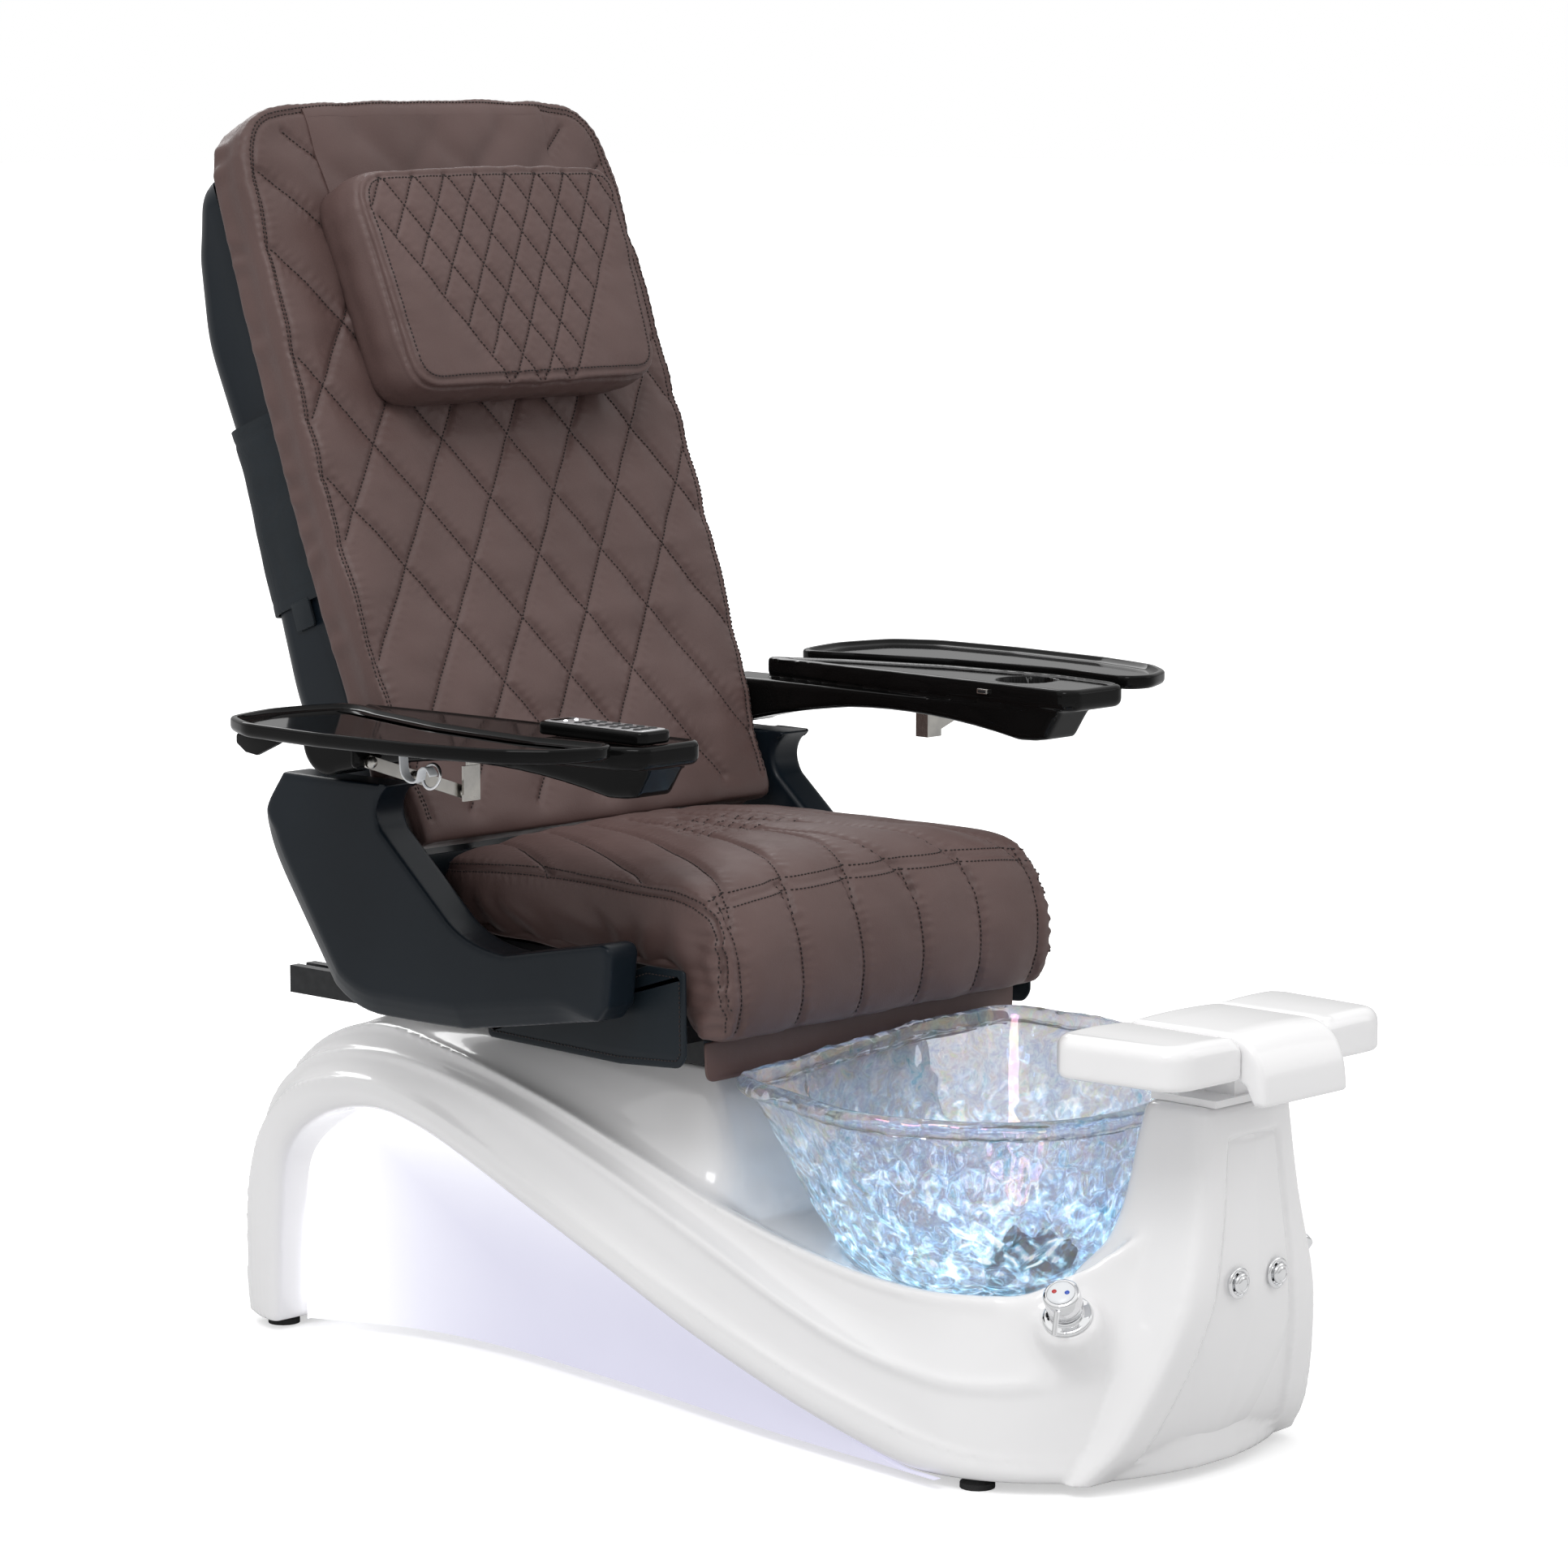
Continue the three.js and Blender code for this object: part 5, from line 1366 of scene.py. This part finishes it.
CASING = [(57, 40), (130, 20), (174, 90), (188, 260), (174, 520), (186, 690), (170, 790), (135, 868),
          (57, 868)]
CASING_HALF = 262
SLEEVE_OUT = 4.2  # how far the sleeve's two faces stand off the casing
SLEEVE_IN = 1.2


def casing_outline():
    return resample(rounded(CASING, (6, 60, 90, 300, 300, 220, 90, 50, 6), 12), step=7, closed=True)


def casing():
    outline = casing_outline()
    points, faces = slab(outline, -CASING_HALF, CASING_HALF, 34, "yz", steps=9)
    _, y, z = points.T
    reach = smoothstep(y, 70, 160)
    points[:, 0] *= 1 - 0.035 * smoothstep(z, 640, 868) * reach - 0.05 * (1 - smoothstep(z, 20, 200)) * reach
    finish_back("back_shell_moulded", points, faces, "navy_plastic", "back_shell")


def finish_back(name, points, faces, look, *nodes, sharp=38):
    obj = new_object(name, np.asarray(points) / 1000, faces, look, sharp)
    obj.data.transform(BACK)
    return settle(obj, "back", look, *nodes)


def sleeve():
    """Cloth pocket band stretched round the casing, hemmed top and bottom, with a touch-fastener tab."""
    outline = casing_outline()
    heights = np.r_[352, 353.5, np.linspace(356, 571, 40), 573.5, 575]
    layers = []
    for grow in (SLEEVE_OUT, SLEEVE_IN):
        rings = []
        for z in heights:
            y1 = casing_rear(outline, z) + grow
            x1 = CASING_HALF + grow
            path = rounded([(-x1, 82), (-x1, y1), (x1, y1), (x1, 82)], (0.5, 36, 36, 0.5), 12)
            line = resample(path, count=170)
            if grow == SLEEVE_OUT:
                hem = 0.9 * (math.exp(-((z - 366) / 1.6) ** 2) + math.exp(-((z - 560) / 1.6) ** 2))
                wave = 0.8 * ripple(np.c_[line, np.full(len(line), z)], 80)
                centre = line - (0, 90)
                normal = centre / np.linalg.norm(centre, axis=1)[:, None]
                line = line + normal * (wave - hem)[:, None]
            rings.append(lay(line, z, "xy"))
        layers.append(np.array(rings))
    rows, count = layers[0].shape[:2]
    points = np.concatenate([layer.reshape(-1, 3) for layer in layers])
    faces = two_sided_faces(rows, count)
    obj = finish_back("back_sleeve_cloth", points, faces, "navy_fabric", "back_sleeve", sharp=60)
    for side in (-1, 1):
        tab = rounded([(104, 322), (136, 322), (136, 356), (104, 356)], 3, 4)
        p, f = slab(tab, CASING_HALF + 1, CASING_HALF + 5, 1.2, "yz", steps=3)
        p = mirrored(p, side)
        finish_back(f"sleeve_tab_{'left' if side > 0 else 'right'}", p, f, "navy_fabric")


def casing_rear(outline, z):
    """Rear face of the casing at a height."""
    ahead = np.roll(outline, -1, 0)
    best = 0.0
    for (y0, z0), (y1, z1) in zip(outline, ahead):
        if min(z0, z1) <= z <= max(z0, z1) and abs(z1 - z0) > 1e-6:
            best = max(best, y0 + (y1 - y0) * (z - z0) / (z1 - z0))
    return best


# ------------------------------------------------------------------ footrest, fittings and buttons


def quadratic(a, b, c, steps=8):
    t = np.linspace(0, 1, steps, endpoint=False)[:, None]
    a, b, c = (np.asarray(p, float) for p in (a, b, c))
    return (1 - t) ** 2 * a + 2 * t * (1 - t) * b + t * t * c


def cubic(a, b, c, d, steps=14):
    t = np.linspace(0, 1, steps, endpoint=False)[:, None]
    a, b, c, d = (np.asarray(p, float) for p in (a, b, c, d))
    return (1 - t) ** 3 * a + 3 * t * (1 - t) ** 2 * b + 3 * t * t * (1 - t) * c + t**3 * d


PAD_PLAN = [(72.2, -716), (180, -716), (192, -570), (176, -551), (72.2, -556)]


def saddle_outline():
    return np.vstack([
        [(-556, 449)],
        quadratic((-558, 481), (-560, 493), (-576, 494)),
        [(-600, 494), (-640, 494)],
        cubic((-690, 494), (-730, 493), (-744, 468), (-745, 423), 18),
        [(-745, 422), (-728, 421)],
        quadratic((-727, 424), (-725, 449), (-700, 449)),
    ])


def footrest():
    """White saddle over the pedestal, a little prouder than the pad that butts against it each side."""
    outline = resample(saddle_outline(), step=3, closed=True)
    points, faces = slab(outline, -71.8, 71.8, 6, "yz", steps=7)
    solid_moulding("footrest_saddle", points, faces)
    for label, side in SIDES:
        plan = rounded(PAD_PLAN, (3, 38, 24, 16, 3), 14)
        plan = resample(plan, step=2.5, closed=True)
        points, faces = slab(plan, 447, 492, 15, "xy", edge_low=6, steps=11)
        solid_moulding(f"footrest_pad_{label}", mirrored(points, side), faces)


def solid_moulding(node, points, faces):
    """A footrest piece remeshed evenly, its top slightly crowned across the width."""
    obj = new_object(f"{node}_moulding", to_row(points), faces, "gelcoat")
    remesh(obj, 0.0022)
    relax(obj, 5)
    co = coordinates_of(obj) * 1000
    low, high = co[:, 0].min(), co[:, 0].max()
    across = (2 * co[:, 0] - low - high) / (high - low)
    co[:, 2] += 2.4 * (1 - across**2) * smoothstep(co[:, 2], 470, 492)
    set_coordinates(obj, co / 1000)
    obj.data.shade_smooth()
    settle(obj, "footrest", "gelcoat", node)


def turned(profile, side, turns=48):
    return lathe(profile, fitting_point(side, 0), fitting_axis(side), turns)


# Turned profiles (radius, height)
FLANGE = [(0, 0.4), (26, 0.4), (27, 1.4), (27, 3.4), (26, 4.6), (24, 5.3), (19.2, 5.4), (18.4, 6.0),
          (18, 7.0), (18, 9.4), (17.4, 10.2), (0, 10.2)]
KNOB = [(0, 11.2), (16.6, 11.2), (17.4, 12.0), (17.4, 16.8), (19.4, 18.0), (20, 19.2), (20, 37.6),
        (19.4, 39.6), (17.8, 40.8), (15.6, 41.0), (15.2, 40.4), (0, 40.4)]
KNOB_DISC = [(0, 40.6), (14.4, 40.6), (14.8, 41.2), (13.6, 42.2), (8, 42.7), (0, 42.8)]
KNOB_MARK = [(0, 42), (2.4, 42), (2.6, 42.9), (1.6, 43.5), (0, 43.6)]
BEZEL = [(0, -4), (13.6, -4), (13.6, -0.2), (16.2, 0.0), (17.0, 1.0), (16.8, 2.2), (15.6, 3.0), (13.6, 3.2),
         (12.4, 2.4), (12.0, 0.6), (11.8, -1.0), (0, -1.0)]
BUTTON = [(0, 1.5), (10.8, 1.5), (11, 2.2), (11, 4.2), (10.2, 5.2), (8.6, 5.5), (8.2, 5.0), (7.6, 5.0),
          (7.2, 5.6), (4, 6.1), (0, 6.3)]
HUB_CAP = [(0, -2), (21, -2), (22, -1), (22, 1.2), (20.5, 2.4), (13, 2.4), (12, 1.6), (0, 1.6)]
CUP_RECESS = [(0, 755), (33, 755), (35, 757), (35.6, 778), (37, 780), (0, 780)]
RIVET = [(0, -2.6), (5.6, -2.6), (6.4, -1.6), (6.4, 1.2), (5.2, 2.8), (2.6, 3.7), (0, 3.9)]


def fittings():
    """Chrome water controls on the deck: the mixer on the right, the diverter on the left."""
    for label, side, knob_body in (("mixer", -1, "mixer_knob"), ("diverter", 1, "diverter_knob")):
        points, faces = turned(FLANGE, side)
        piece(f"{label}_flange_chrome", points, faces, "chrome", "root", f"{label}_flange", sharp=50)
        points, faces = turned(KNOB, side)
        piece(f"{label}_knob_chrome", points, faces, "chrome", knob_body, f"{label}_knob", sharp=50)
        points, faces = turned(KNOB_DISC, side)
        piece(f"{label}_cap_disc", points, faces, "frosted", knob_body, sharp=50)
    across = np.cross(fitting_axis(-1), (0, 0, 1))
    across /= np.linalg.norm(across)
    for tint, way in (("red", 1), ("blue", -1)):
        spot = fitting_point(-1, 0) + across * 7 * way
        points, faces = lathe(KNOB_MARK, spot, fitting_axis(-1), 20)
        piece(f"mixer_mark_{tint}", points, faces, tint, "mixer_knob")


def buttons():
    """Chrome push buttons at the top of the pedestal's panel."""
    for label, x in (("drain_button", 33), ("jet_button", -33)):
        points, faces = lathe(BEZEL, (x, -683.2, 222), (0, -1, 0), 56)
        piece(f"{label}_bezel_ring", points, faces, "chrome", "root", f"{label}_bezel", sharp=50)
        points, faces = lathe(BUTTON, (x, -685, 222), (0, -1, 0), 48)
        piece(f"{label}_cap", points, faces, "chrome", label, label, sharp=50)


# ------------------------------------------------------------------ arm shells and armrests


def arm_outline():
    return np.vstack([
        quadratic((285, 690), (318, 668), (298, 638)),
        [(298, 638)],
        [(246, 594)],
        quadratic((200, 555), (165, 522), (98, 519)),
        [(98, 519)],
        quadratic((-52, 548), (-66, 548), (-66, 535)),
        [(-66, 535), (-60, 480)],
        [(-44, 462), (60, 444), (176, 425), (240, 424)],
        quadratic((309, 424), (356, 424), (390, 451)),
        [(390, 451), (430, 507)],
        cubic((468, 560), (496, 600), (506, 622), (496, 645)),
        [(496, 645), (462, 690)],
    ])


def arm_shells():
    """Moulded arm: flat outer face, wide bevel along the lower rear edge, round inner edge."""
    outline = resample(arm_outline(), step=3, closed=True)
    normal = inward(outline)
    y, z = outline.T
    rear_low = smoothstep(normal[:, 1] - normal[:, 0] * 0.6, 0.1, 0.55)
    rear_low *= smoothstep(y, -50, 20) * (1 - smoothstep(z, 660, 688))
    spread = np.hanning(25) / np.hanning(25).sum()
    rear_low = np.convolve(np.r_[rear_low[-12:], rear_low, rear_low[:12]], spread, "valid")
    wide = 3 + 23 * rear_low
    deep = 3 + 10 * rear_low
    rings = []
    for t in np.linspace(0, math.pi / 2, 7):
        rings.append((np.full(len(y), 7 * (1 - math.sin(t))), np.full(len(y), 301 + 7 * (1 - math.cos(t)))))
    rings.append((np.zeros(len(y)), np.full(len(y), 320.0)))
    rings.append((np.zeros(len(y)), 349 - deep - 1.5))
    for t in (0, 0.12, 0.5, 0.88, 1.0):
        soft = 0.8 * math.sin(math.pi * t)
        rings.append((wide * t + 0.3, 349 - deep * (1 - t) + soft - 0.6 * (t == 1.0)))
    rings.append((wide + 2.5, np.full(len(y), 349.0)))
    rings.append((wide + 7, np.full(len(y), 349.0)))
    loops = [lay(outline + normal * inset[:, None], depth, "yz") for inset, depth in rings]
    shape = loft(loops)
    foot = rounded([(220, 426), (300, 426), (300, 446), (220, 446)], 3, 4)
    foot_shape = slab(foot, 289, 304, 1.5, "yz", steps=3)
    for label, side in SIDES:
        points, faces = merged(shape, foot_shape)
        obj = new_object(f"arm_shell_{label}_moulded", to_row(mirrored(points, side)), faces, "navy_plastic")
        remesh(obj, 0.0022)
        relax(obj, 3)
        obj.data.shade_smooth()
        settle(obj, "carriage", "navy_plastic", f"arm_shell_{label}")


ARMREST_PLAN = [(313, -167), (395, -167), (413, -143), (427, -43), (413, 117), (375, 252), (335, 339),
                (327, 339), (317, 217), (308, 17), (300, -153)]
ARMREST_RADII = (16, 22, 60, 80, 120, 60, 5, 5, 200, 200, 12)
BEAM_TOP = 752


def beam_outline():
    turn = np.radians(np.linspace(-119, 29, 18))
    eye = np.stack([372 + 38 * np.cos(turn), 733 + 38 * np.sin(turn)], 1)
    return np.vstack([
        [(-145, BEAM_TOP), (-122, 716)],
        [(-104, 713)],
        quadratic((-80, 712), (60, 738), (190, 728)),
        quadratic((190, 728), (290, 716), (352, 700))[:-1],
        eye,
        [(332, BEAM_TOP)],
    ])


def armrests():
    """Gloss black armrest: a thin lipped top plate over a deeper beam with a round pivot eye."""
    for label, side in SIDES:
        plan = resample(rounded(ARMREST_PLAN, ARMREST_RADII, 8), step=4, closed=True)
        lip = [(8, 777.2), (10, 775.8), (13, 775.2), (18, 775.2)]
        plate = slab(plan, 751, 777, 5, "xy", edge_low=9, steps=7, extra=lip)
        beam = slab(resample(beam_outline(), step=4, closed=True), 306, 367, 8, "yz", steps=7)
        points, faces = merged(plate, beam)
        obj = new_object(f"armrest_{label}_moulded", to_row(mirrored(points, side)), faces, "gloss_black", 40)
        remesh(obj, 0.0021)
        if side > 0:
            carve(obj, lathe(CUP_RECESS, (368, -42, 0), (0, 0, 1), 60))
        relax(obj, 4)
        obj.data.shade_smooth()
        settle(obj, f"armrest_{label}", "gloss_black", f"armrest_{label}")
        hub = lathe(HUB_CAP, (306.5 * side, 372, 733), (-side, 0, 0), 44)
        piece(f"armrest_{label}_hub_cap", *hub, "black_plastic", f"armrest_{label}", sharp=40)
    port = rounded([(-39, 763), (-23, 763), (-23, 769), (-39, 769)], 1.2, 4)
    body = slab(port, 301, 307, 0.6, "yz", steps=3, extra=((1.0, 307),))
    mouth = rounded([(-37, 764.4), (-25, 764.4), (-25, 767.6), (-37, 767.6)], 0.6, 4)
    slot = slab(mouth, 300.4, 303, 0.4, "yz", steps=3)
    piece("charging_port_shell", *body, "zinc", "armrest_left", sharp=40)
    piece("charging_port_slot", *slot, "black_plastic", "armrest_left", sharp=40)


TRAY_PLAN = [(362, 330), (388, 250), (421, 119), (436, -41), (421, -148), (452, -164), (505, -142),
             (543, -94), (566, 0), (578, 150), (573, 272), (543, 330), (466, 352)]
TRAY_RADII = (40, 160, 160, 160, 26, 40, 60, 90, 160, 160, 60, 40, 90)


def trays():
    """Swing-up manicure trays: thin gloss black dish with a rolled lip and a small lug underneath."""
    for label, side in SIDES:
        plan = spline(rounded(TRAY_PLAN, TRAY_RADII, 6)[::2], 4, True)
        plan = resample(plan, step=4, closed=True)
        dish = [(7.2, 782.6), (9.5, 779.5), (12.5, 777.4), (17, 776.8), (30, 776.8)]
        top = slab(plan, 766.4, 783, 3.6, "xy", edge_low=7, steps=7, extra=dish)
        tab = rounded([(500, 742), (542, 742), (542, 768), (500, 768)], 8, 6)
        points, faces = merged(top, slab(tab, 127.2, 131, 1.2, "xz", steps=3))
        node = f"tray_{label}"
        piece(f"{node}_moulded", mirrored(points, side), faces, "gloss_black", node, node, sharp=40)


def tray_details():
    """Pull strap, its ring and the small wedge bracket under the right tray, by its outer edge."""
    path = spline([(67, 752), (63, 726), (52, 719), (41, 721), (36, 733), (27, 736), (19, 728)], 8)
    ahead = np.gradient(path, axis=0)
    ahead /= np.linalg.norm(ahead, axis=1)[:, None]
    side = np.stack([-ahead[:, 1], ahead[:, 0]], 1) * 1.1
    outline = np.vstack([path + side, (path - side)[::-1]])
    points, faces = slab(resample(outline, step=1.6, closed=True), -531, -519, 0.5, "yz", steps=3)
    points[:, 2] += 15
    points[:, 2] = np.minimum(points[:, 2], 766)
    piece("tray_right_pull_strap", points, faces, "frosted", "tray_right", sharp=60)
    turn = np.linspace(0, 2 * math.pi, 41)[:-1]
    ring_path = np.stack([-519 + 3 * np.sin(turn), 29 + 13 * np.cos(turn), 741 + 13 * np.sin(turn)], 1)
    rings = []
    for centre in ring_path:
        out = centre - ring_path.mean(0)
        out /= np.linalg.norm(out)
        ring = np.linspace(0, 2 * math.pi, 11)[:-1]
        rings.append(centre + 1.7 * (np.outer(np.cos(ring), out) + np.outer(np.sin(ring), (1, 0, 0))))
    points, faces = loft(rings + [rings[0]], caps=False)
    piece("tray_right_pull_ring", points, faces, "chrome", "tray_right", sharp=60)
    wedge = rounded([(227, 766), (311, 766), (311, 755), (296, 746), (278, 744)], 4, 5)
    points, faces = slab(wedge, -548, -542, 1.4, "yz", steps=3)
    piece("tray_right_wedge_bracket", points, faces, "gloss_black", "tray_right", sharp=40)


def rivets():
    """Domed rivet heads on the tray braces' pivots and mid joints."""
    for label, side in SIDES:
        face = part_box(f"brace_lower_{label}")[0].y * 1000 - SHIFT
        joints = (
            ("bracket", f"armrest_{label}", 385, 702),
            ("elbow", f"brace_lower_{label}", 453, 725),
            ("tray", f"brace_upper_{label}", 521, 748),
        )
        for name, body, x, z in joints:
            points, faces = lathe(RIVET, (x * side, face, z), (0, -1, 0), 28)
            piece(f"rivet_{name}_{label}", points, faces, "zinc", body, sharp=50)


REMOTE_TOP = 793
REMOTE_FACE = REMOTE_TOP - 0.6
REMOTE_X = -367
KEY_ROWS = [(-140, 5.4), (-122, 5.0), (-104, 5.0), (-86, 5.0), (-66, 4.4), (-50, 4.4)]  # (y, key radius)


def key_profile(radius):
    return [(0, -1.2), (radius, -1.2), (radius, 0.3), (radius - 0.8, 1.1), (0, 1.4)]


def remote():
    """Handset lying on the right armrest: glossy case, pale face plate and generic keys."""
    plan = rounded([(342, -158), (392, -158), (392, 0), (342, 0)], (13, 13, 10, 10), 10)
    plan, rise = resample(plan, step=3, closed=True), ((5, REMOTE_TOP - 1.0),)
    points, faces = slab(plan, 777.4, REMOTE_TOP - 1.2, 3.5, "xy", steps=6, extra=rise)
    points = mirrored(points, -1)
    piece("remote_case", points, faces, "gloss_black", "armrest_right", "remote_control", sharp=40)
    plan = rounded([(346, -154), (388, -154), (388, -4), (346, -4)], 9, 8)
    plan = resample(plan, step=3, closed=True)
    points, faces = slab(plan, REMOTE_TOP - 2.2, REMOTE_FACE, 0.6, "xy", steps=3)
    piece("remote_face", mirrored(points, -1), faces, "printed", "armrest_right", sharp=40)
    keys, lamps = [], []
    for y, radius in KEY_ROWS:
        for step in (-1, 0, 1):
            keys.append(lathe(key_profile(radius), (REMOTE_X + step * 11, y, REMOTE_FACE), (0, 0, 1), 22))
    for step in (-1, 1):
        lamps.append(lathe(key_profile(2.2), (REMOTE_X + step * 8, -28, REMOTE_FACE), (0, 0, 1), 16))
    piece("remote_keys", *merged(*keys), "black_plastic", "armrest_right", sharp=50)
    piece("remote_lamps", *merged(*lamps), "led", "armrest_right", sharp=50)
    plan = rounded([(-381, -20), (-353, -20), (-353, -9), (-381, -9)], 2, 5)
    points, faces = slab(plan, REMOTE_TOP - 1.4, REMOTE_TOP - 0.1, 0.4, "xy", steps=3)
    piece("remote_window", points, faces, "gloss_black", "armrest_right", sharp=40)


# ------------------------------------------------------------------ remaining CAD nodes and the stage


# Looks of the CAD nodes that stay in view, by the start of their names; the rest are black plastic
NODE_LOOKS = (
    ("led_strip", "led"), ("chassis", "steel"), ("levelling", "rubber"), ("bowl_drain", "chrome"),
    ("mixer_lever", "chrome"), ("footrest_bracket", "gelcoat"), ("seat_rail", "steel"),
    ("seat_frame", "steel"), ("back_frame", "steel"), ("brace", "zinc"),
)


def dress_nodes():
    """Procedural materials for the CAD nodes that stay as they are."""
    for name, node in NODES.items():
        look = next((value for key, value in NODE_LOOKS if name.startswith(key)), "black_plastic")
        node.data.materials.clear()
        node.data.materials.append(LOOKS[look])


def floor():
    mesh = bpy.data.meshes.new("floor")
    work = bmesh.new()
    bmesh.ops.create_grid(work, x_segments=8, y_segments=8, size=60)
    work.to_mesh(mesh)
    work.free()
    mesh.materials.append(floor_look())
    obj = bpy.data.objects.new("floor", mesh)
    bpy.context.scene.collection.objects.link(obj)


def floor_look():
    """Pale floor, seen as white and fully white away from the object."""
    look = Look("floor", Roughness=0.9, Specular_IOR_Level=0.1, Emission_Color=(1, 1, 1, 1))
    reach = look.node("ShaderNodeVectorMath", operation="LENGTH")
    look.link(look.place, reach.inputs[0])
    away = look.span(reach.outputs["Value"], 0.5, 1.0, 0.9, 2.4)
    seen = look.mathed("MULTIPLY", away, look.node("ShaderNodeLightPath").outputs["Is Camera Ray"])
    shade = look.noise(0.4, 1)
    return look.feed(Base_Color=look.ramp(shade, (0.0, (0.66, 0.66, 0.665)), (1.0, (0.68, 0.68, 0.68))),
                     Emission_Strength=seen)


for make in (
    camera, lights, floor, dress_nodes, base_shell, front_panel, light_panels, glass_bowl, footrest,
    fittings, buttons, arm_shells, skirts, rear_panels, apron, casing, sleeve, seat_cushion,
    back_cushion, pillow, armrests, trays, tray_details, rivets, remote,
):
    make()
